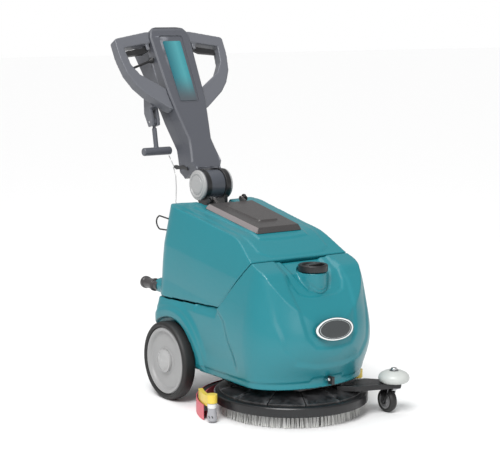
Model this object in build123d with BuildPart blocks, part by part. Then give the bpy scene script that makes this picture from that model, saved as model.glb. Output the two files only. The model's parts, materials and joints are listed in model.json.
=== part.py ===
"""Walk-behind wet and dry floor scrubber: brush deck, two tanks, squeegee and folding column.

Frame: +Z up, the machine's front faces -Y, its right side faces -X.
Origin: on the floor, under the centre of the whole machine.  Millimetres.
"""
from build123d import *
import os

os.makedirs("parts", exist_ok=True)

stand = (Align.CENTER, Align.CENTER, Align.MIN)   # a solid that stands on its place
hang = (Align.CENTER, Align.CENTER, Align.MAX)    # a solid that hangs from its place

# ---------------------------------------------------------------- driving dimensions
run_gap = 0.05            # radial clearance of a shaft in its hole
skin_gap = 0.3            # clearance between curved faces of different bodies
split_gap = 3.0           # groove between the two tanks

# brush and deck
brush_y = -274.0          # brush centre
brush_r = 215.0
bristle_z = 38.0          # tuft length
bristle_inner_r = 110.0
plate_z = 18.0            # thickness of the brush block
deck_r = 238.0
deck_rim_low = 38.0
deck_rim_top = 63.0
deck_crown_z = 88.0
deck_wall = 4.0
rib_count = 16
shaft_r = 12.0
motor_r = 58.0
motor_top = 205.0

# rear wheels
wheel_r = 125.0
wheel_y = 62.0
rim_r = 108.0
wheel_in = 210.0          # inner face of a tyre
wheel_out = 256.0         # outer face of a tyre
axle_r = 10.0
hub_cap_r = 38.0
arch_gap = 12.0

# body shells
nose_y = -497.0           # foremost point of the front tank
rear_y = 170.0
body_half = 225.0         # widest half width
belly_z = 112.0           # underside of the front tank
floor_z = 138.0           # underside above the axle
body_top = 640.0
wall = 5.0
ellipse_y = -331.0        # where the straight sides turn into the nose
slot_half = 62.0          # rear slot for the column pedestal
slot_front = 112.0
split_rear_z = 315.0
split_low_y = -190.0
split_low_z = 330.0
split_top_y = -318.0
split_top_z = 484.0
bay_front = -165.0        # battery bay
bay_rear = 122.0
well_r = 66.0

# lid
lid_front = -213.0
lid_rear = 67.0
lid_half_front = 85.0
lid_half_rear = 93.0
lid_low_front = 550.0
lid_low_rear = 600.0
lid_thick = 17.0
lid_hinge_y = 74.0
lid_hinge_z = 620.0
lid_pin_r = 5.0

# filler
cap_y = -383.0
cap_z = 473.0             # top of the cap
cap_r = 45.0
boss_r = 43.0
neck_r = 30.0             # bore of the filler neck
boss_top = cap_z - 22     # seat of the cap
pocket_gap = 2.0

# column
knuckle_y = 170.0
knuckle_z = 661.0
lean = 29.0               # backward lean of the column at rest, degrees
knuckle_r = 50.0
drum_half = 27.5
cheek_half = 40.0
ear_half = 47.5
cover_half = 58.0
pin_r = 8.0
column_front_n = 16.0
column_split_n = -30.0
column_wall = 4.0
strip_s = 52.0

# caster and bumper
caster_x = 232.0
caster_y = -489.0
bumper_r = 48.0
caster_r = 37.0
caster_wide = 25.0
trail = 30.0
bolt_r = 6.0
arm_low = 84.0
arm_top = 100.0

# squeegee
squeegee_r = 280.0
squeegee_half_angle = 80.0
guide_r = 6.0             # posts that guide the squeegee
guide_x = 60.0
guide_y = brush_y + squeegee_r - 8
guide_low = 36.0
roller_r = 15.0

frame_low = 106.0         # chassis plate
frame_top = belly_z


# ---------------------------------------------------------------- body shape
def body_block(inset):
    """The closed outer form of both tanks together, moved inwards by inset."""
    with BuildPart() as block:
        for height, rear_half, front_half, nose, corner in (
            (belly_z - 12, body_half - 15, body_half - 15, nose_y + 24, 40),
            (belly_z + 90, body_half - 2, body_half - 2, nose_y + 7, 42),
            (split_rear_z - 30, body_half, body_half, nose_y, 45),
            (split_low_z + 25, body_half - 4, body_half - 10, nose_y + 16, 46),
            (split_low_z + 100, body_half - 15, body_half - 27, nose_y + 22, 48),
            (split_top_z + 50, body_half - 35, body_half - 68, nose_y + 62, 50),
            (body_top + 10, body_half - 64, body_half - 96, nose_y + 96, 52),
        ):
            wide = rear_half - inset
            slim = front_half - inset
            rear = rear_y - inset
            with BuildSketch(Plane.XY.offset(height)):
                with BuildLine():
                    Polyline((slim, ellipse_y), (wide, rear), (-wide, rear), (-slim, ellipse_y))
                    EllipticalCenterArc((0, ellipse_y), slim, ellipse_y - nose - inset, start_angle=180, arc_size=180)
                make_face()
                fillet(vertices().group_by(Axis.Y)[-1], corner - inset)
        loft()
        with BuildSketch(Plane.YZ):
            with BuildLine():
                crown = Spline(
                    (rear_y - 14 - inset, 610 - inset),
                    (80, 595 - inset),
                    (-40, 575 - inset),
                    (-139, 557 - inset),
                    (lid_front, 542 - inset),
                    (split_top_y, split_top_z - inset),
                    (-388 + inset / 2, 452 - inset),
                    (-444 + inset, 380 - inset / 2),
                    (-480 + inset, 324 - inset / 2),
                    (nose_y - 1 + inset, 270),
                    (nose_y + 8 + inset, 190),
                    (nose_y + 22 + inset, belly_z + inset),
                )
                Line(crown @ 1, (rear_y - inset, belly_z + inset))
                Line((rear_y - inset, belly_z + inset), (rear_y - inset, 590 - inset))
                Line((rear_y - inset, 590 - inset), crown @ 0)
            make_face()
        extrude(amount=body_half + 50, both=True, mode=Mode.INTERSECT)
    return block.part


def split_prism(gap):
    """Everything above the parting line of the tanks, raised by gap."""
    run = split_top_y - split_low_y
    rise = split_top_z - split_low_z
    with BuildPart() as prism:
        with BuildSketch(Plane.YZ):
            with BuildLine():
                Polyline(
                    (rear_y + 60, split_rear_z - 4 + gap),
                    (split_low_y + gap * 0.5, split_low_z + gap),
                    (split_low_y + 1.4 * run + gap, split_low_z + 1.4 * rise),
                    (split_low_y + 1.4 * run + gap, body_top + 60),
                    (rear_y + 60, body_top + 60),
                    close=True,
                )
            make_face()
            fillet(vertices().sort_by_distance((split_low_y, split_low_z))[0], 30)
        extrude(amount=body_half + 60, both=True)
    return prism.part


outer_block = body_block(0)
inner_block = body_block(wall)
upper_space = split_prism(split_gap / 2)
upper_cavity = split_prism(split_gap / 2 + wall)
lower_limit = split_prism(-split_gap / 2)
lower_cavity = split_prism(-split_gap / 2 - wall)

# ---------------------------------------------------------------- front solution tank
arch_r = wheel_r + arch_gap
arch_in = wheel_in - 6

with BuildPart() as bay_space:
    add(inner_block)
    with Locations((0, (bay_front + bay_rear) / 2, floor_z + wall + 200)):
        Box(2 * body_half, bay_rear - bay_front, 400, mode=Mode.INTERSECT)
    for side in (-1, 1):
        with BuildSketch(Plane.YZ.offset(side * (arch_in - wall))):
            with Locations((wheel_y, wheel_r)):
                Circle(arch_r + wall)
        extrude(amount=side * 60, mode=Mode.SUBTRACT)

with BuildPart() as front_space:
    add(inner_block)
    add(lower_cavity, mode=Mode.SUBTRACT)
    with Locations((0, bay_front - wall - 250, 300)):
        Box(2 * body_half, 500, 700, mode=Mode.INTERSECT)
    with Locations((0, brush_y, belly_z)):
        Cylinder(well_r + wall, motor_top + 12 - belly_z + wall, align=stand,
                 mode=Mode.SUBTRACT)
    with Locations((0, cap_y, boss_top - wall)):
        Cylinder(cap_r + pocket_gap + wall, 100, align=stand, mode=Mode.SUBTRACT)

with BuildPart() as solution_tank:
    add(outer_block)
    add(lower_limit, mode=Mode.SUBTRACT)
    # filler boss that stands on the sloping front
    with BuildSketch(Plane.XY.offset(boss_top)):
        with Locations((0, cap_y)):
            Circle(boss_r)
    extrude(amount=-80)
    add(bay_space.part, mode=Mode.SUBTRACT)
    add(front_space.part, mode=Mode.SUBTRACT)
    # pocket for the cap, and the filler neck
    with BuildSketch(Plane.XY.offset(boss_top)):
        with Locations((0, cap_y)):
            Circle(cap_r + pocket_gap)
    extrude(amount=100, mode=Mode.SUBTRACT)
    with BuildSketch(Plane.XY.offset(cap_z)):
        with Locations((0, cap_y)):
            Circle(neck_r)
    extrude(amount=-120, mode=Mode.SUBTRACT)
    # motor well, axle tunnel and pedestal slot
    with Locations((0, brush_y, belly_z - 20)):
        Cylinder(well_r, motor_top + 12 - belly_z + 20, align=stand,
                 mode=Mode.SUBTRACT)
    with Locations((0, (bay_front + rear_y) / 2 + 20, floor_z - 50)):
        Box(2 * (arch_in - 8), rear_y - bay_front + 40, 100, mode=Mode.SUBTRACT)
    with Locations((0, wheel_y, wheel_r)):
        Box(2 * wheel_out, 2 * axle_r + 8, 2 * (floor_z - wheel_r), mode=Mode.SUBTRACT)
    with Locations((0, bay_rear + wall + 100, 300)):
        Box(2 * slot_half, 200, 600, mode=Mode.SUBTRACT)
    for side in (-1, 1):
        with BuildSketch(Plane.YZ.offset(side * arch_in)):
            with Locations((wheel_y, wheel_r)):
                Circle(arch_r)
        extrude(amount=side * 60, mode=Mode.SUBTRACT)
solution_tank.part.label = "solution_tank"
export_step(solution_tank.part, "parts/solution_tank.step")

badge_half = 72.0
badge_rise = 33.0
badge_z = 294.0
badge_skin = body_block(-2.0)
with BuildPart() as badge_plate:
    add(badge_skin)
    add(outer_block, mode=Mode.SUBTRACT)
    with BuildSketch(Plane.XZ.offset(-nose_y - 30)):
        with Locations((0, badge_z)):
            Ellipse(badge_half, badge_rise)
    extrude(amount=60, mode=Mode.INTERSECT)
badge_plate.part.label = "badge_plate"
export_step(badge_plate.part, "parts/badge_plate.step")

# ---------------------------------------------------------------- recovery tank
vacuum_x = 118.0
vacuum_y = 92.0
vacuum_r = 48.0
vacuum_top = 530.0
drain_x = -185.0
drain_z = 325.0
drain_y = 213.0           # face of the drain boss
drain_r = 24.0
lid_slope = Plane(
    origin=(0, lid_rear, lid_low_rear),
    x_dir=(1, 0, 0),
    z_dir=Vector(0, lid_low_front - lid_low_rear, lid_rear - lid_front),
)
lid_length = ((lid_rear - lid_front) ** 2 + (lid_low_rear - lid_low_front) ** 2) ** 0.5
seal_thick = 2.0
collar_in = 14.0          # the collar stands this far inside the lid's edge
collar_wide = 10.0
ear_x = 58.5
ear_thick = 11.0


def lid_outline(inset):
    """Trapezoid of the lid in its own sloping plane, moved inwards by inset."""
    with BuildSketch() as outline:
        with BuildLine():
            Polyline(
                (-lid_half_front + inset, -lid_length + inset),
                (lid_half_front - inset, -lid_length + inset),
                (lid_half_rear - inset, -inset),
                (-lid_half_rear + inset, -inset),
                close=True,
            )
        make_face()
        fillet(vertices(), 6)
    return outline.sketch


with BuildPart() as tank_space:
    add(inner_block)
    add(upper_cavity, mode=Mode.INTERSECT)
    with Locations((0, slot_front - wall + 200, 400)):
        Box(2 * (slot_half + wall), 400, 600, mode=Mode.SUBTRACT)
    with Locations((vacuum_x, vacuum_y, split_rear_z - 20)):
        Cylinder(vacuum_r + 4 + wall, vacuum_top + 8 + wall - split_rear_z + 20,
                 align=stand, mode=Mode.SUBTRACT)

with BuildPart() as recovery_tank:
    add(outer_block)
    add(upper_space, mode=Mode.INTERSECT)
    # drain boss low on the rear right corner
    with BuildSketch(Plane.XZ.offset(-drain_y)):
        with Locations((drain_x, drain_z + 14)):
            Circle(drain_r)
    extrude(amount=100)
    # collar around the opening and the two hinge ears
    with BuildSketch(lid_slope.offset(-30)):
        add(lid_outline(collar_in))
    extrude(amount=30 - seal_thick)
    for side in (-1, 1):
        with BuildSketch(Plane.YZ.offset(side * ear_x)):
            with BuildLine():
                Polyline(
                    (lid_hinge_y - 4, 580), (lid_hinge_y + 9, 580), (lid_hinge_y + 9, lid_hinge_z),
                    (lid_hinge_y - 4, lid_hinge_z), close=True,
                )
            make_face()
            with Locations((lid_hinge_y, lid_hinge_z)):
                Circle(9)
        extrude(amount=side * ear_thick)
    add(tank_space.part, mode=Mode.SUBTRACT)
    with BuildSketch(lid_slope.offset(-60)):
        add(lid_outline(collar_in + collar_wide))
    extrude(amount=80, mode=Mode.SUBTRACT)
    with Locations((0, slot_front + 200, 400)):
        Box(2 * slot_half, 400, 600, mode=Mode.SUBTRACT)
    with Locations((vacuum_x, vacuum_y, split_rear_z - 60)):
        Cylinder(vacuum_r + 4, vacuum_top + 8 - split_rear_z + 60,
                 align=stand, mode=Mode.SUBTRACT)
    with BuildSketch(Plane.YZ.offset(-100)):
        with Locations((lid_hinge_y, lid_hinge_z)):
            Circle(lid_pin_r)
    extrude(amount=200, mode=Mode.SUBTRACT)
    with BuildSketch(Plane.XZ.offset(-drain_y)):
        with Locations((drain_x, drain_z + 14)):
            Circle(drain_r - 8)
    extrude(amount=90, mode=Mode.SUBTRACT)
recovery_tank.part.label = "recovery_tank"
export_step(recovery_tank.part, "parts/recovery_tank.step")

# ---------------------------------------------------------------- lid, seal and hinge pins
lid_skin = 5.0
with BuildPart() as tank_lid:
    with BuildSketch(lid_slope):
        add(lid_outline(0))
    extrude(amount=lid_thick, taper=30)
    # raised centre with a finger hollow at its front
    with BuildSketch(lid_slope.offset(lid_thick)):
        with BuildLine():
            Polyline((-38, -lid_length + 60), (38, -lid_length + 60), (52, -50), (-52, -50), close=True)
        make_face()
        fillet(vertices(), 12)
    extrude(amount=5, taper=40)
    with BuildSketch(lid_slope):
        add(lid_outline(16))
    extrude(amount=lid_thick - lid_skin, mode=Mode.SUBTRACT)
    for side in (-1, 1):
        with BuildSketch(Plane.YZ.offset(side * (ear_x - skin_gap))):
            with BuildLine():
                Polyline(
                    (lid_rear - 16, lid_hinge_z - 12), (lid_hinge_y, lid_hinge_z - 9),
                    (lid_hinge_y, lid_hinge_z + 9), (lid_rear - 16, lid_hinge_z - 2), close=True,
                )
            make_face()
            with Locations((lid_hinge_y, lid_hinge_z)):
                Circle(9)
        extrude(amount=-side * 9)
    with BuildSketch(Plane.YZ.offset(-100)):
        with Locations((lid_hinge_y, lid_hinge_z)):
            Circle(lid_pin_r + run_gap)
    extrude(amount=200, mode=Mode.SUBTRACT)
tank_lid.part.label = "tank_lid"
export_step(tank_lid.part, "parts/tank_lid.step")

with BuildPart() as lid_seal:
    with BuildSketch(lid_slope.offset(-seal_thick)):
        add(lid_outline(collar_in + 1))
        add(lid_outline(collar_in + 8), mode=Mode.SUBTRACT)
    extrude(amount=seal_thick - 0.1)
lid_seal.part.label = "lid_seal"
export_step(lid_seal.part, "parts/lid_seal.step")

pin_start = ear_x - 9
with BuildPart() as lid_hinge_pins:
    for side in (-1, 1):
        with BuildSketch(Plane.YZ.offset(side * pin_start)):
            with Locations((lid_hinge_y, lid_hinge_z)):
                Circle(lid_pin_r)
        extrude(amount=side * (9 + ear_thick))
        with BuildSketch(Plane.YZ.offset(side * (ear_x + ear_thick))):
            with Locations((lid_hinge_y, lid_hinge_z)):
                Circle(lid_pin_r + 3)
        extrude(amount=side * 4)
lid_hinge_pins.part.label = "lid_hinge_pins"
export_step(lid_hinge_pins.part, "parts/lid_hinge_pins.step")

# ---------------------------------------------------------------- float shut-off in the recovery tank
float_x = 112.0
float_y = 0.0
cage_r = 24.0
cage_wall = 2.5
cage_low = 500.0
ball_r = 18.0
ball_travel = 30.0
with BuildPart() as float_cage:
    with Locations((float_x, float_y, cage_low)):
        Cylinder(cage_r, 200, align=stand)
    with Locations((float_x, float_y, cage_low + 3)):
        Cylinder(cage_r - cage_wall, 200, align=stand, mode=Mode.SUBTRACT)
    with Locations((float_x, float_y, cage_low)):
        Cylinder(ball_r - 4, 20, mode=Mode.SUBTRACT)
    with Locations((float_x, float_y, cage_low + 36)):
        Box(2 * cage_r, 14, 44, mode=Mode.SUBTRACT)
        Box(14, 2 * cage_r, 44, mode=Mode.SUBTRACT)
    add(inner_block, mode=Mode.INTERSECT)
float_cage.part.label = "float_cage"
export_step(float_cage.part, "parts/float_cage.step")

ball_seat = (ball_r ** 2 - (ball_r - 4) ** 2) ** 0.5
with BuildPart() as float_ball:
    with Locations((float_x, float_y, cage_low + 3 + ball_seat + skin_gap)):
        Sphere(ball_r)
float_ball.part.label = "float_ball"
export_step(float_ball.part, "parts/float_ball.step")

# ---------------------------------------------------------------- vacuum motor and its fan
fan_r = 38.0
fan_z = 360.0
motor_floor = split_rear_z + 12
with BuildPart() as vacuum_motor:
    with Locations((vacuum_x, vacuum_y, motor_floor)):
        Cylinder(vacuum_r, vacuum_top - motor_floor, align=stand)
    with Locations((vacuum_x, vacuum_y, motor_floor + 4)):
        Cylinder(fan_r + 4, 50, align=stand, mode=Mode.SUBTRACT)
        Cylinder(5 + run_gap, 90, align=stand, mode=Mode.SUBTRACT)
    with Locations((vacuum_x, vacuum_y, motor_floor)):
        Cylinder(16, 10, mode=Mode.SUBTRACT)
    # mounting flange that hangs the motor from the roof of its well
    with Locations((vacuum_x, vacuum_y, vacuum_top)):
        Cylinder(20, 8, align=stand)
vacuum_motor.part.label = "vacuum_motor"
export_step(vacuum_motor.part, "parts/vacuum_motor.step")

with BuildPart() as vacuum_fan:
    with Locations((vacuum_x, vacuum_y, motor_floor + 12)):
        Cylinder(fan_r, 4, align=stand)
    with Locations((vacuum_x, vacuum_y, motor_floor + 16)):
        with PolarLocations(fan_r / 2 + 4, 9):
            Box(fan_r - 12, 3, 18, align=stand)
        Cylinder(12, 18, align=stand)
        Cylinder(5, 60, align=stand)
vacuum_fan.part.label = "vacuum_fan"
export_step(vacuum_fan.part, "parts/vacuum_fan.step")

# ---------------------------------------------------------------- drain cap and cord hook
cap_length = 78.0
with BuildPart() as drain_cap:
    with BuildSketch(Plane.XZ.offset(-drain_y - skin_gap)):
        with Locations((drain_x, drain_z + 14)):
            Circle(drain_r - 3)
    extrude(amount=-14)
    with BuildSketch(Plane.XZ.offset(-drain_y + 16)):
        with Locations((drain_x, drain_z + 14)):
            Circle(drain_r - 8 - skin_gap)
    extrude(amount=-16 - cap_length)
    fillet(edges().group_by(Axis.Y)[-1], 8)
drain_cap.part.label = "drain_cap"
export_step(drain_cap.part, "parts/drain_cap.step")

hook_x = -172.0
hook_r = 2.5
hook_reach = 72.0
with BuildPart() as cord_hook:
    with BuildLine() as hook_path:
        FilletPolyline(
            (hook_x, rear_y - 40, 560), (hook_x, rear_y + hook_reach - 26, 566),
            (hook_x, rear_y + hook_reach, 545), (hook_x, rear_y + hook_reach - 26, 522),
            (hook_x, rear_y - 40, 526), radius=18,
        )
    with BuildSketch(Plane(origin=hook_path.line @ 0, z_dir=hook_path.line % 0)):
        Circle(hook_r)
    sweep(path=hook_path.line)
    add(outer_block, mode=Mode.SUBTRACT)
cord_hook.part.label = "cord_hook"
export_step(cord_hook.part, "parts/cord_hook.step")

# ---------------------------------------------------------------- filler cap
cap_low = boss_top + skin_gap
with BuildPart() as fill_cap:
    with Locations((0, cap_y, cap_low)):
        Cylinder(cap_r, cap_z - cap_low, align=stand)
    fillet(edges().group_by(Axis.Z)[-1], 3)
    # moulded hand grip: two sunk halves leave a bar across the middle
    with Locations((0, cap_y, cap_z - 10)):
        Cylinder(cap_r - 9, 20, align=stand, mode=Mode.SUBTRACT)
        Box(2 * cap_r - 20, 15, 11, align=stand)
    with Locations((0, cap_y, cap_low)):
        Cylinder(neck_r - skin_gap, 14, align=hang)
fill_cap.part.label = "fill_cap"
export_step(fill_cap.part, "parts/fill_cap.step")

# ---------------------------------------------------------------- batteries and controller
battery_long = 197.0
battery_wide = 165.0
battery_high = 168.0
battery_gap = 4.0
with BuildPart() as batteries:
    with Locations((0, bay_rear - 6 - battery_long / 2, floor_z + wall)):
        with GridLocations(battery_wide + battery_gap, 1, 2, 1):
            Box(battery_wide, battery_long, battery_high - 8, align=stand)
            Box(battery_wide - 8, battery_long - 8, battery_high, align=stand)
batteries.part.label = "batteries"
export_step(batteries.part, "parts/batteries.step")

controller_y = bay_front + 34
with BuildPart() as controller:
    with Locations((70, controller_y, floor_z + wall)):
        Box(120, 50, 90, align=stand)
    chamfer(edges().group_by(Axis.Z)[-1], 4)
controller.part.label = "controller"
export_step(controller.part, "parts/controller.step")

# ---------------------------------------------------------------- chassis plate, axle blocks and pedestal
plate_rear = rear_y - 6
block_in = 140.0
block_thick = 28.0
neck_motor_r = 45.0
bolt_ring_r = 54.0
with BuildPart() as chassis_frame:
    with BuildSketch(Plane.XY.offset(frame_low)):
        with BuildLine():
            Polyline(
                (168, plate_rear), (168, -190), (120, -330), (120, -436), (-90, -436), (-120, -330),
                (-168, -190), (-168, plate_rear), close=True,
            )
        make_face()
        with Locations((0, brush_y)):
            Circle(neck_motor_r, mode=Mode.SUBTRACT)
    extrude(amount=frame_top - frame_low)
    for side in (-1, 1):
        with Locations((side * (block_in + block_thick / 2), wheel_y, frame_top)):
            Box(block_thick, 44, floor_z - frame_top, align=stand)
    # welded posts that guide the squeegee
    for side in (-1, 1):
        with Locations((side * guide_x, guide_y, guide_low)):
            Cylinder(guide_r, frame_low - guide_low, align=stand)
    with BuildSketch(Plane.YZ.offset(-250)):
        with Locations((wheel_y, wheel_r)):
            Circle(axle_r)
    extrude(amount=500, mode=Mode.SUBTRACT)
chassis_frame.part.label = "chassis_frame"
export_step(chassis_frame.part, "parts/chassis_frame.step")

with BuildPart() as wheel_axle:
    with BuildSketch(Plane.YZ.offset(-wheel_out + 4)):
        with Locations((wheel_y, wheel_r)):
            Circle(axle_r)
    extrude(amount=2 * (wheel_out - 4))
wheel_axle.part.label = "wheel_axle"
export_step(wheel_axle.part, "parts/wheel_axle.step")

post_front = 130.0
post_rear = 164.0
with BuildPart() as column_pedestal:
    for side in (-1, 1):
        with BuildSketch(Plane.YZ.offset(side * drum_half)):
            with BuildLine():
                Polyline(
                    (post_front, frame_top), (post_rear, frame_top), (post_rear, 575), (knuckle_y + 38, 632),
                    (knuckle_y - 38, 632), (post_front, 590), close=True,
                )
            make_face()
            with Locations((knuckle_y, knuckle_z)):
                Circle(knuckle_r)
                Circle(pin_r, mode=Mode.SUBTRACT)
        extrude(amount=side * (cheek_half - drum_half))
    with Locations((0, post_front, frame_top)):
        Box(2 * drum_half, 6, 470, align=(Align.CENTER, Align.MIN, Align.MIN))
column_pedestal.part.label = "column_pedestal"
export_step(column_pedestal.part, "parts/column_pedestal.step")

with BuildPart() as pivot_drum:
    with BuildSketch(Plane.YZ.offset(-drum_half)):
        with Locations((knuckle_y, knuckle_z)):
            Circle(knuckle_r - 2)
            Circle(pin_r, mode=Mode.SUBTRACT)
    extrude(amount=2 * drum_half)
pivot_drum.part.label = "pivot_drum"
export_step(pivot_drum.part, "parts/pivot_drum.step")

with BuildPart() as pivot_pin:
    with BuildSketch(Plane.YZ.offset(-ear_half + 0.5)):
        with Locations((knuckle_y, knuckle_z)):
            Circle(pin_r)
    extrude(amount=2 * ear_half - 1)
pivot_pin.part.label = "pivot_pin"
export_step(pivot_pin.part, "parts/pivot_pin.step")

# ---------------------------------------------------------------- brush drive, deck and brush
shaft_top = 150.0
with BuildPart() as brush_motor:
    with Locations((0, brush_y, frame_top)):
        Cylinder(motor_r, motor_top - frame_top, align=stand)
    with Locations((0, brush_y, deck_crown_z + 4)):
        Cylinder(neck_motor_r, frame_top - deck_crown_z - 4, align=stand)
    with Locations((0, brush_y, deck_crown_z)):
        Cylinder(shaft_r + run_gap, shaft_top + 1 - deck_crown_z, align=stand,
                 mode=Mode.SUBTRACT)
    fillet(edges().group_by(Axis.Z)[-1], 8)
brush_motor.part.label = "brush_motor"
export_step(brush_motor.part, "parts/brush_motor.step")

crown_r = 110.0
eye_r = 36.0
with BuildPart() as deck_skirt:
    with BuildSketch(Plane(origin=(0, brush_y, 0), x_dir=(1, 0, 0), z_dir=(0, -1, 0))):
        with BuildLine():
            Polyline(
                (deck_r, deck_rim_low), (deck_r, deck_rim_top), (crown_r, deck_crown_z - 4), (eye_r, deck_crown_z),
                (eye_r, deck_crown_z - deck_wall), (crown_r, deck_crown_z - 4 - deck_wall),
                (deck_r - deck_wall, deck_rim_top - deck_wall), (deck_r - deck_wall, deck_rim_low), close=True,
            )
        make_face()
    revolve(axis=Axis((0, brush_y, 0), (0, 0, 1)))
    # collar that hangs the deck under the chassis plate
    with BuildSketch(Plane.XY.offset(deck_crown_z - 6)):
        with Locations((0, brush_y)):
            Circle(neck_motor_r + 24)
            Circle(neck_motor_r + 18, mode=Mode.SUBTRACT)
    extrude(amount=frame_low - deck_crown_z + 6)
deck_skirt.part.label = "deck_skirt"
export_step(deck_skirt.part, "parts/deck_skirt.step")

hub_r = 40.0
plate_top = bristle_z + plate_z
with BuildPart() as drive_hub:
    with Locations((0, brush_y, plate_top)):
        Cylinder(hub_r, 14, align=stand)
        Cylinder(shaft_r, shaft_top - plate_top, align=stand)
drive_hub.part.label = "drive_hub"
export_step(drive_hub.part, "parts/drive_hub.step")

with BuildPart() as brush_plate:
    with Locations((0, brush_y, bristle_z)):
        Cylinder(brush_r - 8, plate_z, align=stand)
        Cylinder(hub_r + 20, 200, mode=Mode.SUBTRACT)
    with Locations((0, brush_y, bristle_z + plate_z / 2)):
        Cylinder(hub_r + 20, plate_z / 2, align=stand)
brush_plate.part.label = "brush_plate"
export_step(brush_plate.part, "parts/brush_plate.step")

with BuildPart() as brush_bristles:
    with Locations((0, brush_y, 0)):
        Cone(brush_r, brush_r - 10, bristle_z, align=stand)
        Cylinder(bristle_inner_r, 3 * bristle_z, mode=Mode.SUBTRACT)
brush_bristles.part.label = "brush_bristles"
export_step(brush_bristles.part, "parts/brush_bristles.step")

# ---------------------------------------------------------------- rear wheels
rim_in = wheel_in + 2
rim_face = wheel_out - 4
hub_r_wheel = 26.0
for side, name in ((-1, "right"), (1, "left")):
    profile_plane = Plane(origin=(0, wheel_y, wheel_r), x_dir=(side, 0, 0), z_dir=(0, -side, 0))
    spin_axis = Axis((0, wheel_y, wheel_r), (1, 0, 0))

    with BuildPart() as tyre:
        with BuildSketch(profile_plane):
            with Locations(((wheel_in + wheel_out) / 2, (rim_r + wheel_r) / 2)):
                Rectangle(wheel_out - wheel_in, wheel_r - rim_r)
            fillet(vertices().group_by(Axis.Z)[-1], 8)
        revolve(axis=spin_axis)
    tyre.part.label = "tyre_" + name
    export_step(tyre.part, "parts/tyre_" + name + ".step")

    with BuildPart() as rim:
        with BuildSketch(profile_plane):
            with BuildLine():
                Polyline(
                    (rim_in, axle_r + run_gap), (rim_face, axle_r + run_gap), (rim_face, hub_r_wheel),
                    (rim_face - 6, hub_r_wheel + 10), (rim_face - 10, rim_r - 16), (rim_face, rim_r - 6),
                    (rim_face, rim_r), (rim_in, rim_r), (rim_in, rim_r - 5), (rim_face - 18, rim_r - 12),
                    (rim_face - 15, hub_r_wheel + 6), (rim_in, hub_r_wheel), close=True,
                )
            make_face()
        revolve(axis=spin_axis)
    rim.part.label = "rim_" + name
    export_step(rim.part, "parts/rim_" + name + ".step")

    with BuildPart() as hub_cap:
        with BuildSketch(profile_plane):
            with BuildLine():
                Polyline((rim_face, 0), (rim_face + 13, 0))
                ThreePointArc((rim_face + 13, 0), (rim_face + 9, 20), (rim_face, hub_r_wheel))
                Line((rim_face, hub_r_wheel), (rim_face, 0))
            make_face()
        revolve(axis=spin_axis)
    hub_cap.part.label = "hub_cap_" + name
    export_step(hub_cap.part, "parts/hub_cap_" + name + ".step")

# ---------------------------------------------------------------- front caster and bumper roller
bumper_low = arm_top + skin_gap
bumper_high = 138.0
fork_top = arm_low - skin_gap
fork_plate = 4.0
with BuildPart() as caster_arm:
    with BuildSketch(Plane.XY.offset(arm_low)):
        with BuildLine():
            Polyline(
                (58, -430), (100, -470), (caster_x + 8, caster_y - 24), (caster_x + 26, caster_y - 6),
                (caster_x + 14, caster_y + 22), (190, -400), (60, -390), close=True,
            )
        make_face()
    extrude(amount=arm_top - arm_low)
    # root block that meets the chassis plate
    with Locations((88, -428, arm_top)):
        Box(40, 16, frame_low - arm_top, align=stand)
    with Locations((caster_x, caster_y, arm_low - 10)):
        Cylinder(bolt_r, 60, mode=Mode.SUBTRACT)
caster_arm.part.label = "caster_arm"
export_step(caster_arm.part, "parts/caster_arm.step")

with BuildPart() as bumper_bolt:
    with Locations((caster_x, caster_y, fork_top - fork_plate - 5)):
        Cylinder(9, 4.7, align=stand)
        Cylinder(bolt_r, bumper_high + 9 - fork_top + fork_plate, align=stand)
    with Locations((caster_x, caster_y, bumper_high + skin_gap)):
        Cylinder(13, 2, align=stand)
        Cylinder(9, 7, align=stand)
    fillet(edges().group_by(Axis.Z)[-1], 2.5)
bumper_bolt.part.label = "bumper_bolt"
export_step(bumper_bolt.part, "parts/bumper_bolt.step")

with BuildPart() as bumper_roller:
    with BuildSketch(Plane(origin=(caster_x, caster_y, 0), x_dir=(1, 0, 0), z_dir=(0, -1, 0))):
        with BuildLine():
            Polyline(
                (bolt_r + run_gap, bumper_high), (bolt_r + run_gap, bumper_low), (bumper_r - 4, bumper_low),
                (bumper_r, bumper_low + 5), (bumper_r, bumper_low + 18),
            )
            ThreePointArc((bumper_r, bumper_low + 18), (bumper_r - 14, bumper_high - 5), (14, bumper_high))
            Line((14, bumper_high), (bolt_r + run_gap, bumper_high))
        make_face()
    revolve(axis=Axis((caster_x, caster_y, 0), (0, 0, 1)))
bumper_roller.part.label = "bumper_roller"
export_step(bumper_roller.part, "parts/bumper_roller.step")

wheel_cy = caster_y + trail
caster_pin_r = 4.0
fork_half = caster_wide / 2 + 2
with BuildPart() as caster_fork:
    with BuildSketch(Plane.XY.offset(fork_top - fork_plate)):
        with BuildLine():
            Polyline(
                (caster_x - 15, caster_y - 14), (caster_x + 15, caster_y - 14), (caster_x + 15, wheel_cy + 10),
                (caster_x - 15, wheel_cy + 10), close=True,
            )
        make_face()
        with Locations((caster_x, caster_y)):
            Circle(bolt_r + run_gap, mode=Mode.SUBTRACT)
    extrude(amount=fork_plate)
    for side in (-1, 1):
        with BuildSketch(Plane.YZ.offset(caster_x + side * fork_half)):
            with BuildLine():
                Polyline(
                    (caster_y + 6, fork_top), (wheel_cy - 10, caster_r - 4), (wheel_cy + 10, caster_r - 4),
                    (wheel_cy + 10, fork_top), close=True,
                )
            make_face()
            with Locations((wheel_cy, caster_r)):
                Circle(11)
        extrude(amount=side * 2.5)
    # riveted wheel pin
    with BuildSketch(Plane.YZ.offset(caster_x - fork_half - 6)):
        with Locations((wheel_cy, caster_r)):
            Circle(caster_pin_r)
    extrude(amount=2 * fork_half + 12)
caster_fork.part.label = "caster_fork"
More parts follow.
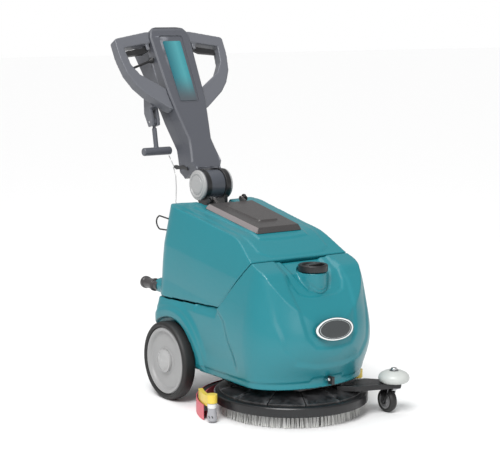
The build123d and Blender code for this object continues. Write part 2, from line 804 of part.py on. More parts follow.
export_step(caster_fork.part, "parts/caster_fork.step")

with BuildPart() as caster_wheel:
    with BuildSketch(Plane.YZ.offset(caster_x - caster_wide / 2)):
        with Locations((wheel_cy, caster_r)):
            Circle(caster_r)
            Circle(caster_pin_r + run_gap, mode=Mode.SUBTRACT)
    extrude(amount=caster_wide)
    fillet(edges().filter_by(GeomType.CIRCLE).group_by(SortBy.RADIUS)[-1], 6)
caster_wheel.part.label = "caster_wheel"
export_step(caster_wheel.part, "parts/caster_wheel.step")

# ---------------------------------------------------------------- squeegee
blade_low = 1.0
blade_top = 48.0
frame_bar_low = 30.0
frame_bar_top = 46.0
bar_half = 10.0
blade_thick = 3.0
sleeve_top = 64.0
lift_travel = 36.0
strap_top = 78.0
roller_angle = 86.0
roller_low = 5.0
roller_top = 61.0


def arc_band(inner, outer, half_angle, low, high):
    """Part of a ring behind the brush, symmetric about the machine's centre plane."""
    with BuildPart() as band:
        with BuildSketch(Plane.XY.offset(low)):
            with Locations((0, brush_y)):
                Circle(outer)
                Circle(inner, mode=Mode.SUBTRACT)
            with BuildLine():
                tip = Vector(0, 2 * outer).rotate(Axis.Z, half_angle)
                Polyline(
                    (0, brush_y), (tip.X, brush_y + tip.Y), (tip.X, brush_y + 2 * outer),
                    (-tip.X, brush_y + 2 * outer), (-tip.X, brush_y + tip.Y), close=True,
                )
            make_face(mode=Mode.INTERSECT)
        extrude(amount=high - low)
    return band.part


squeegee_bar = arc_band(squeegee_r - bar_half, squeegee_r + bar_half, squeegee_half_angle, frame_bar_low, frame_bar_top)
inner_blade = arc_band(squeegee_r - bar_half - blade_thick - 1, squeegee_r - bar_half, squeegee_half_angle - 1,
                       blade_low, blade_top)
outer_blade = arc_band(squeegee_r + bar_half, squeegee_r + bar_half + blade_thick, squeegee_half_angle - 1,
                       blade_low, blade_top)

with BuildPart() as squeegee_frame:
    add(squeegee_bar)
    for side in (-1, 1):
        with Locations((side * guide_x, guide_y, frame_bar_low)):
            Cylinder(guide_r + 5, sleeve_top - frame_bar_low, align=stand)
            Cylinder(guide_r + run_gap, 200, mode=Mode.SUBTRACT)
    # suction port
    with Locations((0, brush_y + squeegee_r, frame_bar_low)):
        Cylinder(22, sleeve_top - frame_bar_low, align=stand)
        Cylinder(18, 200, mode=Mode.SUBTRACT)
    add(inner_blade, mode=Mode.SUBTRACT)
    add(outer_blade, mode=Mode.SUBTRACT)
squeegee_frame.part.label = "squeegee_frame"
export_step(squeegee_frame.part, "parts/squeegee_frame.step")

with BuildPart() as squeegee_blades:
    add(inner_blade)
    add(outer_blade)
squeegee_blades.part.label = "squeegee_blades"
export_step(squeegee_blades.part, "parts/squeegee_blades.step")

strap_bar = arc_band(squeegee_r - 7, squeegee_r + 7, roller_angle + 2, frame_bar_top, strap_top)
strap_middle = arc_band(squeegee_r - 20, squeegee_r + 20, 62, frame_bar_top - 5, strap_top + 5)
strap_under = arc_band(squeegee_r - 20, squeegee_r + 20, 74, frame_bar_top - 5, strap_top - 16)
roller_axis = Vector(0, squeegee_r).rotate(Axis.Z, roller_angle)
with BuildPart() as squeegee_straps:
    add(strap_bar)
    add(strap_middle, mode=Mode.SUBTRACT)
    # the strap rises off the bar towards the roller and carries its cap
    with BuildSketch(Plane.XY.offset(frame_bar_top - 1)):
        with Locations((roller_axis.X, brush_y + roller_axis.Y), (-roller_axis.X, brush_y + roller_axis.Y)):
            Circle(roller_r + 4)
    extrude(amount=roller_top + 1.3 - frame_bar_top, mode=Mode.SUBTRACT)
    with Locations((roller_axis.X, brush_y + roller_axis.Y, roller_top + 0.3),
                   (-roller_axis.X, brush_y + roller_axis.Y, roller_top + 0.3)):
        Cylinder(roller_r + 1, 26, align=stand)
        Cylinder(5, 22, align=hang)
squeegee_straps.part.label = "squeegee_straps"
export_step(squeegee_straps.part, "parts/squeegee_straps.step")

for side, name in ((1, "right"), (-1, "left")):
    with BuildPart() as end_roller:
        with Locations((side * roller_axis.X, brush_y + roller_axis.Y, roller_low)):
            Cylinder(roller_r, roller_top - roller_low, align=stand)
        fillet(edges().filter_by(GeomType.CIRCLE), 4)
        with Locations((side * roller_axis.X, brush_y + roller_axis.Y, 30)):
            Cylinder(5 + run_gap, 80, align=stand, mode=Mode.SUBTRACT)
    end_roller.part.label = "end_roller_" + name
    export_step(end_roller.part, "parts/end_roller_" + name + ".step")

# suction hose: from the squeegee port under the axle, up behind the body and into the recovery tank
hose_r = 17.0
hose_bore = 13.0
hose_y = brush_y + squeegee_r
inlet_x = 95.0
inlet_z = 385.0
with BuildPart() as suction_hose:
    with BuildLine() as hose_path:
        FilletPolyline(
            (0, hose_y, blade_top + 2), (0, hose_y, 86), (8, 88, 85), (60, 160, 84), (inlet_x, rear_y + 44, 86),
            (inlet_x + 2, rear_y + 46, 240), (inlet_x, rear_y + 44, inlet_z), (inlet_x, rear_y + 0.5, inlet_z),
            radius=[20, 60, 60, 36, 200, 28],
        )
    with BuildSketch(Plane(origin=hose_path.line @ 0, z_dir=hose_path.line % 0)):
        Circle(hose_r)
    sweep(path=hose_path.line)
suction_hose.part.label = "suction_hose"
export_step(suction_hose.part, "parts/suction_hose.step")

# ---------------------------------------------------------------- column
lean_rad = Vector(0, 0, 1).rotate(Axis.X, -lean)
face_normal = Vector(0, -1, 0).rotate(Axis.X, -lean)
HEAD = Plane(origin=(0, knuckle_y, knuckle_z), x_dir=(1, 0, 0), z_dir=face_normal)
SIDE = Plane(origin=(0, knuckle_y, knuckle_z), x_dir=lean_rad, z_dir=(1, 0, 0))
column_top = 577.0
back_n = -112.0


def column_outline(inset):
    """Front view of the column in its own plane: foot, neck and widening head."""
    half = [
        (ear_half, strip_s), (ear_half + 3, strip_s + 10), (58.5, 77), (49.5, 122), (44, 158), (50, 195),
        (60.5, 255), (69.5, 330), (76, 470), (78, column_top - 42), (71, column_top - 20), (58, column_top - 6),
        (40, column_top),
    ]
    right = [(x - inset, s) for x, s in half]
    left = [(-x, s) for x, s in reversed(right)]
    with BuildSketch() as outline:
        with BuildLine():
            Polyline(*right, *left, close=True)
        make_face()
        if inset:
            with Locations((0, (strip_s + column_top) / 2)):
                Rectangle(300, column_top - strip_s - 2 * inset, mode=Mode.INTERSECT)
    return outline.sketch


def column_side(inset):
    """Side view of the column: front face, and a back that deepens towards the head."""
    with BuildPart() as prism:
        with BuildSketch(SIDE):
            with BuildLine():
                Polyline(
                    (strip_s - 1, column_front_n - inset), (column_top - 14, column_front_n - inset),
                    (column_top + 1 - inset, column_front_n - 14), (column_top + 1 - inset, back_n + 14),
                    (541, back_n + inset), (429, -93 + inset), (298, -72 + inset), (222, -73 + inset),
                    (114, -72 + inset), (strip_s - 1, -68 + inset), close=True,
                )
            make_face()
        extrude(amount=120, both=True)
    return prism.part


column_envelope = column_side(0)
column_inside = column_side(column_wall)
inlay_low = 297.0
inlay_high = 519.0
inlay_thick = 2.0
frame_depth = 3.0
lever_s = 465.0
panel_s = 485.0
panel_n = -102.5
panel_half = 52.0
panel_long = 84.0

lever_start = Vector(-78, lever_s - 3, -10)
lever_end = Vector(-163, 433, -10)
LEVER = Plane(
    origin=HEAD.from_local_coords(lever_start),
    z_dir=HEAD.from_local_coords(lever_end) - HEAD.from_local_coords(lever_start),
)
lever_long = (lever_end - lever_start).length

with BuildPart() as column_front:
    with BuildSketch(HEAD.offset(column_split_n)):
        add(column_outline(0))
    extrude(amount=column_front_n - column_split_n)
    add(column_envelope, mode=Mode.INTERSECT)
    chamfer(faces().sort_by(Axis((0, 0, 0), face_normal))[-1].edges(), 5)
    with BuildSketch(HEAD.offset(column_split_n)):
        add(column_outline(column_wall))
    extrude(amount=column_front_n - column_wall - 2 - column_split_n, mode=Mode.SUBTRACT)
    # sunk frame around the coloured inlay
    with BuildSketch(HEAD.offset(column_front_n)):
        with BuildLine():
            Polyline(
                (-39, inlay_low - 8), (39, inlay_low - 8), (47, inlay_high + 20), (-47, inlay_high + 20), close=True,
            )
        make_face()
        fillet(vertices(), 10)
    extrude(amount=-frame_depth, mode=Mode.SUBTRACT)
    with BuildSketch(LEVER.offset(-20)):
        Circle(6)
    extrude(amount=30, mode=Mode.SUBTRACT)
    # fork ears that hold the pivot pin
    for side in (-1, 1):
        with BuildSketch(SIDE.offset(side * (cheek_half + 0.5))):
            Circle(knuckle_r)
            with Locations((40, -8)):
                Rectangle(44, 44)
            Circle(pin_r + run_gap, mode=Mode.SUBTRACT)
        extrude(amount=side * (ear_half - cheek_half - 0.5))
column_front.part.label = "column_front"
export_step(column_front.part, "parts/column_front.step")

PANEL = Plane(
    origin=HEAD.from_local_coords((0, panel_s, panel_n)),
    x_dir=(-1, 0, 0),
    z_dir=HEAD.from_local_coords((0, -19, -112)) - HEAD.origin,
)
button_r = 9.0
button_rise = 5.0
button_travel = 3.0
key_r = 9.0
panel_thick = 4.0
switch_row = 18.0

with BuildPart() as column_hollow:
    with BuildSketch(HEAD.offset(column_split_n)):
        add(column_outline(column_wall))
    extrude(amount=back_n - 10 - column_split_n)
    add(column_inside, mode=Mode.INTERSECT)

with BuildPart() as column_back:
    with BuildSketch(HEAD.offset(column_split_n)):
        add(column_outline(0))
    extrude(amount=back_n - 10 - column_split_n)
    add(column_envelope, mode=Mode.INTERSECT)
    add(column_hollow.part, mode=Mode.SUBTRACT)
    # window for the control panel
    with BuildSketch(PANEL.offset(10)):
        Rectangle(2 * panel_half, panel_long)
        fillet(vertices(), 6)
    extrude(amount=-20, mode=Mode.SUBTRACT)
column_back.part.label = "column_back"
export_step(column_back.part, "parts/column_back.step")

with BuildPart() as control_panel:
    with BuildSketch(PANEL.offset(-panel_thick + 1)):
        Rectangle(2 * panel_half, panel_long)
        fillet(vertices(), 6)
        with Locations((-28, switch_row), (0, switch_row)):
            Circle(button_r + skin_gap, mode=Mode.SUBTRACT)
        with Locations((30, switch_row)):
            Circle(key_r + skin_gap, mode=Mode.SUBTRACT)
    extrude(amount=panel_thick)
control_panel.part.label = "control_panel"
export_step(control_panel.part, "parts/control_panel.step")

for x, name in ((-28, "brush_button"), (0, "vacuum_button")):
    with BuildPart() as button:
        with BuildSketch(PANEL.offset(-6)):
            with Locations((x, switch_row)):
                Circle(button_r)
        extrude(amount=6 + 1 + button_rise)
        chamfer(edges().sort_by(Axis(PANEL.origin, PANEL.z_dir))[-1], 1.5)
    button.part.label = name
    export_step(button.part, "parts/" + name + ".step")

with BuildPart() as key_switch:
    with BuildSketch(PANEL.offset(-8)):
        with Locations((30, switch_row)):
            Circle(key_r)
    extrude(amount=8 + 4)
    with BuildSketch(PANEL.offset(4)):
        with Locations((30, switch_row)):
            Rectangle(4, 22)
    extrude(amount=16)
key_switch.part.label = "key_switch"
export_step(key_switch.part, "parts/key_switch.step")

with BuildPart() as column_inlay:
    with BuildSketch(HEAD.offset(column_front_n - frame_depth)):
        with BuildLine():
            Polyline((-32, inlay_low), (32, inlay_low), (35, inlay_high), (-35, inlay_high), close=True)
        make_face()
        fillet(vertices(), 5)
    extrude(amount=inlay_thick)
column_inlay.part.label = "column_inlay"
export_step(column_inlay.part, "parts/column_inlay.step")

with BuildPart() as pivot_covers:
    for side in (-1, 1):
        with BuildSketch(Plane.YZ.offset(side * ear_half)):
            with Locations((knuckle_y, knuckle_z)):
                Circle(knuckle_r - 1)
        extrude(amount=side * (cover_half - ear_half))
    fillet(edges().group_by(Axis.X)[-1] + edges().group_by(Axis.X)[0], 3)
pivot_covers.part.label = "pivot_covers"
export_step(pivot_covers.part, "parts/pivot_covers.step")

# ---------------------------------------------------------------- grip loops, triggers and their pins
grip_low_n = -28.0
grip_high_n = 8.0
trigger_low_n = -16.0
trigger_high_n = -3.0
lug_low_n = -24.0
lug_high_n = 5.0
trigger_pin_x = 91.0
trigger_pin_s = 499.0
small_pin_r = 3.0
with BuildPart() as grip_loops:
    for side in (-1, 1):
        with BuildSketch(HEAD.offset(grip_low_n)):
            with BuildLine():
                Polyline(
                    (side * 40, 558), (side * 85, 558), (side * 213, 534), (side * 211, 465), (side * 200, 408),
                    (side * 177, 364), (side * 148, 330), (side * 76, 276), (side * 40, 262), close=True,
                )
            make_face()
            fillet(vertices().group_by(Axis.X)[-1 if side > 0 else 0], 12)
            with BuildLine():
                Polyline(
                    (side * 50, 516), (side * 88, 516), (side * 184, 501), (side * 176, 440), (side * 152, 402),
                    (side * 78, 352), (side * 50, 340), close=True,
                )
            make_face(mode=Mode.SUBTRACT)
        extrude(amount=grip_high_n - grip_low_n)
        # two lugs that hold the trigger pin
        for low, high in ((lug_low_n, trigger_low_n - skin_gap), (trigger_high_n + skin_gap, lug_high_n)):
            with BuildSketch(HEAD.offset(low)):
                with Locations((side * trigger_pin_x, trigger_pin_s + 9)):
                    Rectangle(14, 20)
                with Locations((side * trigger_pin_x, trigger_pin_s)):
                    Circle(7)
            extrude(amount=high - low)
        with BuildSketch(HEAD.offset(lug_low_n)):
            with Locations((side * trigger_pin_x, trigger_pin_s)):
                Circle(small_pin_r)
        extrude(amount=lug_high_n - lug_low_n, mode=Mode.SUBTRACT)
    with BuildSketch(HEAD.offset(grip_low_n - 5)):
        add(column_outline(0))
    extrude(amount=grip_high_n - grip_low_n + 10, mode=Mode.SUBTRACT)
grip_loops.part.label = "grip_loops"
export_step(grip_loops.part, "parts/grip_loops.step")

for side, name in ((-1, "right"), (1, "left")):
    with BuildPart() as trigger:
        with BuildSketch(HEAD.offset(trigger_low_n)):
            with BuildLine():
                Polyline(
                    (side * trigger_pin_x, 506), (side * 173, 493), (side * 175, 475), (side * 150, 478),
                    (side * 110, 482), (side * trigger_pin_x, 492), close=True,
                )
            make_face()
            with Locations((side * trigger_pin_x, trigger_pin_s)):
                Circle(7)
                Circle(small_pin_r + run_gap, mode=Mode.SUBTRACT)
        extrude(amount=trigger_high_n - trigger_low_n)
    trigger.part.label = "trigger_" + name
    export_step(trigger.part, "parts/trigger_" + name + ".step")

# ---------------------------------------------------------------- release lever beside the column
with BuildPart() as release_lever:
    with BuildSketch(LEVER.offset(4)):
        Circle(11)
    with BuildSketch(LEVER.offset(18)):
        Circle(5)
    loft()
    with BuildSketch(LEVER.offset(4)):
        Circle(4)
    extrude(amount=lever_long - 4)
    with BuildSketch(LEVER.offset(4)):
        Circle(4)
    extrude(amount=-16)
release_lever.part.label = "release_lever"
export_step(release_lever.part, "parts/release_lever.step")

# ---------------------------------------------------------------- squeegee lift lever and its bracket
lift_x = -106.0
lift_s = 262.0
lift_n = -65.0
blade_half = 5.7
cheek_gap = 0.3
cheek_thick = 10.0
with BuildPart() as lift_bracket:
    for side in (-1, 1):
        with BuildSketch(SIDE.offset(lift_x + side * (blade_half + cheek_gap))):
            with BuildLine():
                Polyline(
                    (245, -56), (lift_s, -48), (300, -40), (300, grip_low_n), (342, grip_low_n), (345, -62),
                    (300, -84), (250, -80), close=True,
                )
            make_face()
            with Locations((lift_s, lift_n)):
                Circle(4, mode=Mode.SUBTRACT)
        extrude(amount=side * cheek_thick)
    with BuildSketch(SIDE.offset(lift_x - blade_half - cheek_gap)):
        with BuildLine():
            Polyline((300, -40), (300, grip_low_n), (342, grip_low_n), (345, -62), (300, -84), close=True)
        make_face()
    extrude(amount=2 * (blade_half + cheek_gap))
lift_bracket.part.label = "lift_bracket"
export_step(lift_bracket.part, "parts/lift_bracket.step")

pivot = SIDE.from_local_coords((lift_s, lift_n, lift_x))
handle_centre = Vector(-105, 336, 762)
grip_r = 13.5
grip_long = 107.0
stem_r = 8.0
stem_start = 22.0
STEM = Plane(origin=pivot, z_dir=handle_centre + Vector(lift_x - handle_centre.X, 0, 0) - pivot)
stem_long = (handle_centre - pivot).length
with BuildPart() as lift_lever:
    with BuildSketch(Plane.YZ.offset(lift_x - blade_half)):
        with Locations((pivot.Y, pivot.Z)):
            Circle(12)
    extrude(amount=2 * blade_half)
    with BuildSketch(STEM.offset(stem_start)):
        Circle(stem_r)
    extrude(amount=stem_long - stem_start)
    with BuildSketch(STEM.offset(4)):
        Circle(blade_half - 0.2)
    extrude(amount=20)
    with BuildSketch(Plane.YZ.offset(handle_centre.X - grip_long / 2)):
        with Locations((handle_centre.Y, handle_centre.Z)):
            Circle(grip_r)
    extrude(amount=grip_long)
    fillet(edges().group_by(Axis.X)[-1] + edges().group_by(Axis.X)[0], 5)
    with BuildSketch(Plane.YZ.offset(lift_x - 30)):
        with Locations((pivot.Y, pivot.Z)):
            Circle(4 + run_gap)
    extrude(amount=60, mode=Mode.SUBTRACT)
lift_lever.part.label = "lift_lever"
export_step(lift_lever.part, "parts/lift_lever.step")

with BuildPart() as column_pins:
    with BuildSketch(Plane.YZ.offset(lift_x - blade_half - cheek_gap - cheek_thick)):
        with Locations((pivot.Y, pivot.Z)):
            Circle(4)
    extrude(amount=2 * (blade_half + cheek_gap + cheek_thick))
    for side in (-1, 1):
        with BuildSketch(HEAD.offset(lug_low_n)):
            with Locations((side * trigger_pin_x, trigger_pin_s)):
                Circle(small_pin_r)
        extrude(amount=lug_high_n - lug_low_n)
column_pins.part.label = "column_pins"
export_step(column_pins.part, "parts/column_pins.step")

# ---------------------------------------------------------------- lift wire and its guide
wire_r = 1.5
wire_x = -61.5
with BuildPart() as wire_guide:
    with BuildSketch(SIDE.offset(-ear_half - 12)):
        with BuildLine():
            Polyline(
                (72, -20), (90, -40), (100, -72), (112, -88), (108, -96), (94, -84), (80, -46), (64, -24),
                close=True,
            )
        make_face()
    extrude(amount=12)
    with BuildSketch(HEAD.offset(-20)):
        add(column_outline(0))
    extrude(amount=-60, mode=Mode.SUBTRACT)
wire_guide.part.label = "wire_guide"
export_step(wire_guide.part, "parts/wire_guide.step")

for name, route, bend in (
    ("lift_wire_upper", [(wire_x, 331, 745.5), (wire_x, 318, 733), (wire_x, 303, 714)], 20),
    ("lift_wire_lower", [
        (wire_x, 303, 710), (wire_x, 289, 680), (wire_x, 286, 640), (-70, 276, 596), (-80, 240, 556),
        (-84, 206, 500), (-85, 196, 430), (-85, 192, 340), (-85, 193, 240), (-85, 190, 150), (-85, 172, 100),
        (-85, 110, 96), (-85, 50, 97), (-85, 4, 92), (-85, -6, 64),
    ], 12),
):
    with BuildPart() as wire:
        with BuildLine() as wire_path:
            FilletPolyline(*route, radius=bend)
        with BuildSketch(Plane(origin=wire_path.line @ 0, z_dir=wire_path.line % 0)):
            Circle(wire_r)
        sweep(path=wire_path.line)
    wire.part.label = name
    export_step(wire.part, "parts/" + name + ".step")
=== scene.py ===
"""A compact walk-behind floor scrubber: teal stacked tanks, a disc brush deck and a tilting grey handle."""
import json
import math
import random

import bmesh
import bpy
import numpy as np
from mathutils import Matrix, Vector

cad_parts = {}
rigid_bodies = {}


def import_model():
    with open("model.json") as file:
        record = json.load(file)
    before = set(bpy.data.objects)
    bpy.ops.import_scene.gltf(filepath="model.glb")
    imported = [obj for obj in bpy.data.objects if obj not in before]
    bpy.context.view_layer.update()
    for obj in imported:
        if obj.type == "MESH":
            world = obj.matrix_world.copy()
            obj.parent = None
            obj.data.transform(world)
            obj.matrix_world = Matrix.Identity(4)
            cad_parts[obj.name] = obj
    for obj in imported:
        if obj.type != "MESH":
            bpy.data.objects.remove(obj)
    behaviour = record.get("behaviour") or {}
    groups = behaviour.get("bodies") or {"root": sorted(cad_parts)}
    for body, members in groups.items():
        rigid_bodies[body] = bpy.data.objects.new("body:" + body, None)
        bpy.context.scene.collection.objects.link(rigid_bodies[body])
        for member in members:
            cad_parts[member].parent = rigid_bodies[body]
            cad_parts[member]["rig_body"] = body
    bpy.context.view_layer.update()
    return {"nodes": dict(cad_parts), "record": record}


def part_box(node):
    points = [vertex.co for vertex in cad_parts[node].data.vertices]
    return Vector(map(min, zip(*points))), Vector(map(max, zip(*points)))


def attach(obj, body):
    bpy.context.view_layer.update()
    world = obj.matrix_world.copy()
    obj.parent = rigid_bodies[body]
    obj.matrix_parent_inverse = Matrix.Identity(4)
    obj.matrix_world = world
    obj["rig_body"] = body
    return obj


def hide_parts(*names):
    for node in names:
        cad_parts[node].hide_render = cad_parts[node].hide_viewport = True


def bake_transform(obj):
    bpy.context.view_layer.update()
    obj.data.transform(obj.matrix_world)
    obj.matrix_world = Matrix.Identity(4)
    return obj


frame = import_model()
nodes = frame["nodes"]
scene = bpy.context.scene

# ------------------------------------------------------------------ studio
# A white sweep under a broad sun from the upper left, with a weak front lamp and a strip above.
# None of it belongs to the machine.
camera = bpy.data.objects.new("camera", bpy.data.cameras.new("camera"))
scene.collection.objects.link(camera)
camera.location = (-2.7226, -3.9613, 1.2367)
look_at = Vector((-0.00445, -0.0590, 0.5488))
camera.rotation_euler = (look_at - camera.location).to_track_quat("-Z", "Y").to_euler()
camera.data.lens = 109.55
camera.data.sensor_width = 36
scene.camera = camera
scene.view_settings.view_transform = "Standard"

for name, place, size, power in (
    ("front_light", (-0.6, -3.8, 1.6), 1.6, 16),
    ("strip_light", (-0.3, 0.4, 3.2), 2.0, 22),
):
    lamp = bpy.data.objects.new(name, bpy.data.lights.new(name, "AREA"))
    scene.collection.objects.link(lamp)
    lamp.location = place
    lamp.data.size = size
    lamp.data.energy = power
    lamp.rotation_euler = (Vector((0, -0.1, 0.4)) - Vector(place)).to_track_quat("-Z", "Y").to_euler()

world = bpy.data.worlds.new("studio_air")
scene.world = world
world.use_nodes = True
world.node_tree.nodes["Background"].inputs["Color"].default_value = (1, 1, 1, 1)
air = world.node_tree
seen = air.nodes.new("ShaderNodeLightPath")
level = air.nodes.new("ShaderNodeMapRange")
level.inputs["To Min"].default_value = 0.46
level.inputs["To Max"].default_value = 1.0
air.links.new(seen.outputs["Is Camera Ray"], level.inputs["Value"])
air.links.new(level.outputs["Result"], air.nodes["Background"].inputs["Strength"])
sun = bpy.data.objects.new("key_sun", bpy.data.lights.new("key_sun", "SUN"))
scene.collection.objects.link(sun)
sun.data.energy = 2.7
sun.data.angle = math.radians(28)
sun.rotation_euler = Vector((0.62, 0.52, -0.95)).to_track_quat("-Z", "Y").to_euler()



def object_from(work, name):
    """A new object in the scene from a bmesh, which it frees."""
    mesh = bpy.data.meshes.new(name)
    work.to_mesh(mesh)
    work.free()
    made = bpy.data.objects.new(name, mesh)
    scene.collection.objects.link(made)
    return made


floor_work = bmesh.new()
bmesh.ops.create_grid(floor_work, x_segments=1, y_segments=1, size=30)
studio_floor = object_from(floor_work, "studio_floor")
floor_paint = bpy.data.materials.new("floor_paint")
floor_paint.use_nodes = True
floor_paint.node_tree.nodes["Principled BSDF"].inputs["Base Color"].default_value = (0.93, 0.93, 0.93, 1)
floor_paint.node_tree.nodes["Principled BSDF"].inputs["Roughness"].default_value = 0.7
studio_floor.data.materials.append(floor_paint)

# ------------------------------------------------------------------ the two tanks
# Rotomoulded polyethylene shells, thick and soft at every edge: the clean-water tank below and in front,
# the recovery tank that lifts off above it. The skin has a faint pebble and pale sharp edges, partly wear and
# partly painted highlight.


def surface_group():
    """Moulded skin: slow colour drift, fine grain and paler sharp edges, partly wear and partly painted
    highlight.
    """
    group = bpy.data.node_groups.new("moulded_skin", "ShaderNodeTree")
    face = group.interface
    for socket, kind, value in (
        ("Colour", "NodeSocketColor", (0.5, 0.5, 0.5, 1)),
        ("Scuffed And Lit Edge Colour", "NodeSocketColor", (0.8, 0.8, 0.8, 1)),
        ("Drift", "NodeSocketFloat", 0.08), ("Scuffed And Lit Amount", "NodeSocketFloat", 0.4),
        ("Grain Scale", "NodeSocketFloat", 900.0),
        ("Roughness", "NodeSocketFloat", 0.4),
    ):
        made = face.new_socket(socket, in_out="INPUT", socket_type=kind)
        made.default_value = value
    for socket, kind in (("Colour", "NodeSocketColor"), ("Roughness", "NodeSocketFloat"),
                         ("Height", "NodeSocketFloat")):
        face.new_socket(socket, in_out="OUTPUT", socket_type=kind)
    make, link = group.nodes.new, group.links.new
    given, out, place = make("NodeGroupInput"), make("NodeGroupOutput"), make("ShaderNodeTexCoord")
    slow, fine, patch_noise = make("ShaderNodeTexNoise"), make("ShaderNodeTexNoise"), make("ShaderNodeTexNoise")
    slow.inputs["Scale"].default_value = 7
    slow.inputs["Detail"].default_value = 5
    patch_noise.inputs["Scale"].default_value = 55
    patch_noise.inputs["Detail"].default_value = 6
    fine.inputs["Detail"].default_value = 3
    for noise in (slow, fine, patch_noise):
        link(place.outputs["Object"], noise.inputs["Vector"])
    link(given.outputs["Grain Scale"], fine.inputs["Scale"])
    drift = make("ShaderNodeMath")
    drift.operation = "MULTIPLY_ADD"
    centre = make("ShaderNodeMath")
    centre.operation = "SUBTRACT"
    centre.inputs[1].default_value = 0.5
    link(slow.outputs["Fac"], centre.inputs[0])
    link(centre.outputs[0], drift.inputs[0])
    link(given.outputs["Drift"], drift.inputs[1])
    drift.inputs[2].default_value = 1.0
    tint = make("ShaderNodeVectorMath")
    tint.operation = "SCALE"
    link(given.outputs["Colour"], tint.inputs[0])
    link(drift.outputs[0], tint.inputs["Scale"])
    # sharp edges found by pointiness get the pale edge colour: partly wear, partly painted highlight
    edge = make("ShaderNodeMapRange")
    edge.inputs["From Min"].default_value = 0.53
    edge.inputs["From Max"].default_value = 0.62
    link(make("ShaderNodeNewGeometry").outputs["Pointiness"], edge.inputs["Value"])
    broken = make("ShaderNodeMapRange")
    broken.inputs["From Min"].default_value = 0.35
    broken.inputs["From Max"].default_value = 0.6
    link(patch_noise.outputs["Fac"], broken.inputs["Value"])
    scuffed_and_lit_edge = make("ShaderNodeMath")
    scuffed_and_lit_edge.operation = "MULTIPLY"
    link(edge.outputs["Result"], scuffed_and_lit_edge.inputs[0])
    link(broken.outputs["Result"], scuffed_and_lit_edge.inputs[1])
    amount = make("ShaderNodeMath")
    amount.operation = "MULTIPLY"
    link(scuffed_and_lit_edge.outputs[0], amount.inputs[0])
    link(given.outputs["Scuffed And Lit Amount"], amount.inputs[1])
    blend = make("ShaderNodeMix")
    blend.data_type = "RGBA"
    link(amount.outputs[0], blend.inputs["Factor"])
    link(tint.outputs["Vector"], blend.inputs["A"])
    link(given.outputs["Scuffed And Lit Edge Colour"], blend.inputs["B"])
    link(blend.outputs["Result"], out.inputs["Colour"])
    rough = make("ShaderNodeMath")
    rough.operation = "MULTIPLY_ADD"
    link(patch_noise.outputs["Fac"], rough.inputs[0])
    rough.inputs[1].default_value = 0.12
    link(given.outputs["Roughness"], rough.inputs[2])
    link(rough.outputs[0], out.inputs["Roughness"])
    link(fine.outputs["Fac"], out.inputs["Height"])
    return group


moulded_skin = surface_group()


def finish(name, colour, scuffed_and_lit_edge, roughness=0.35, grain=900, bump=0.12, scuffed_and_lit_amount=0.35, drift=0.1, metal=0.0,
           coat=0.0):
    """A material on the shared skin: colour and the pale edge colour (partly wear, partly painted highlight)
    are linear, grain is in bumps per metre.
    """
    material = bpy.data.materials.new(name)
    material.use_nodes = True
    tree = material.node_tree
    shader = tree.nodes["Principled BSDF"]
    skin = tree.nodes.new("ShaderNodeGroup")
    skin.node_tree = moulded_skin
    skin.inputs["Colour"].default_value = (*colour, 1)
    skin.inputs["Scuffed And Lit Edge Colour"].default_value = (*scuffed_and_lit_edge, 1)
    skin.inputs["Roughness"].default_value = roughness - 0.06
    skin.inputs["Grain Scale"].default_value = grain
    skin.inputs["Scuffed And Lit Amount"].default_value = scuffed_and_lit_amount
    skin.inputs["Drift"].default_value = drift
    relief = tree.nodes.new("ShaderNodeBump")
    relief.inputs["Strength"].default_value = bump
    relief.inputs["Distance"].default_value = 0.0006
    shader.inputs["Metallic"].default_value = metal
    shader.inputs["Coat Weight"].default_value = coat
    shader.inputs["Coat Roughness"].default_value = 0.12
    tree.links.new(skin.outputs["Colour"], shader.inputs["Base Color"])
    tree.links.new(skin.outputs["Roughness"], shader.inputs["Roughness"])
    tree.links.new(skin.outputs["Height"], relief.inputs["Height"])
    tree.links.new(relief.outputs["Normal"], shader.inputs["Normal"])
    return material


def bench_copy(name, *cad):
    """A merged copy of one or more CAD meshes as a new object."""
    work = bmesh.new()
    for node in cad:
        work.from_mesh(nodes[node].data)
    bmesh.ops.remove_doubles(work, verts=work.verts, dist=0.00002)
    piece = object_from(work, name)
    mesh = piece.data
    for spare in ("custom_normal", "sharp_edge", "sharp_face"):
        if spare in mesh.attributes:
            mesh.attributes.remove(mesh.attributes[spare])
    mesh.materials.clear()
    return piece


def settle(piece):
    """Applies the piece's modifiers to its mesh."""
    bpy.context.view_layer.update()
    graph = bpy.context.evaluated_depsgraph_get()
    mesh = bpy.data.meshes.new_from_object(piece.evaluated_get(graph))
    piece.modifiers.clear()
    piece.data = mesh
    return piece


def soften(piece, voxel, rounds, shape=None, most=190000):
    """Remeshes evenly, lets shape move the points, smooths the edges round and thins the mesh to a limit."""
    cells = piece.modifiers.new("cells", "REMESH")
    cells.mode = "VOXEL"
    cells.voxel_size = voxel
    settle(piece)
    if shape:
        points = np.empty(len(piece.data.vertices) * 3, np.float32)
        piece.data.vertices.foreach_get("co", points)
        piece.data.vertices.foreach_set("co", shape(points.reshape(-1, 3)).astype(np.float32).ravel())
    ease = piece.modifiers.new("ease", "SMOOTH")
    ease.factor = 0.5
    ease.iterations = rounds
    faces = 2 * len(piece.data.polygons)
    if faces > most:
        thin = piece.modifiers.new("thin", "DECIMATE")
        thin.ratio = most / faces
    settle(piece)
    piece.data.shade_smooth()
    return piece


def fit(piece, material, body, slot, *cad):
    """Gives a piece its material and its body, and hides the CAD nodes it stands for. The slot is not used.
    """
    piece.data.materials.clear()
    piece.data.materials.append(material)
    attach(piece, body)
    if cad:
        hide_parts(*cad)
    return piece


def ramp(distance, edge):
    """Smooth step from 0 to 1 over edge metres of distance."""
    t = np.clip(distance / edge, 0, 1)
    return t * t * (3 - 2 * t)


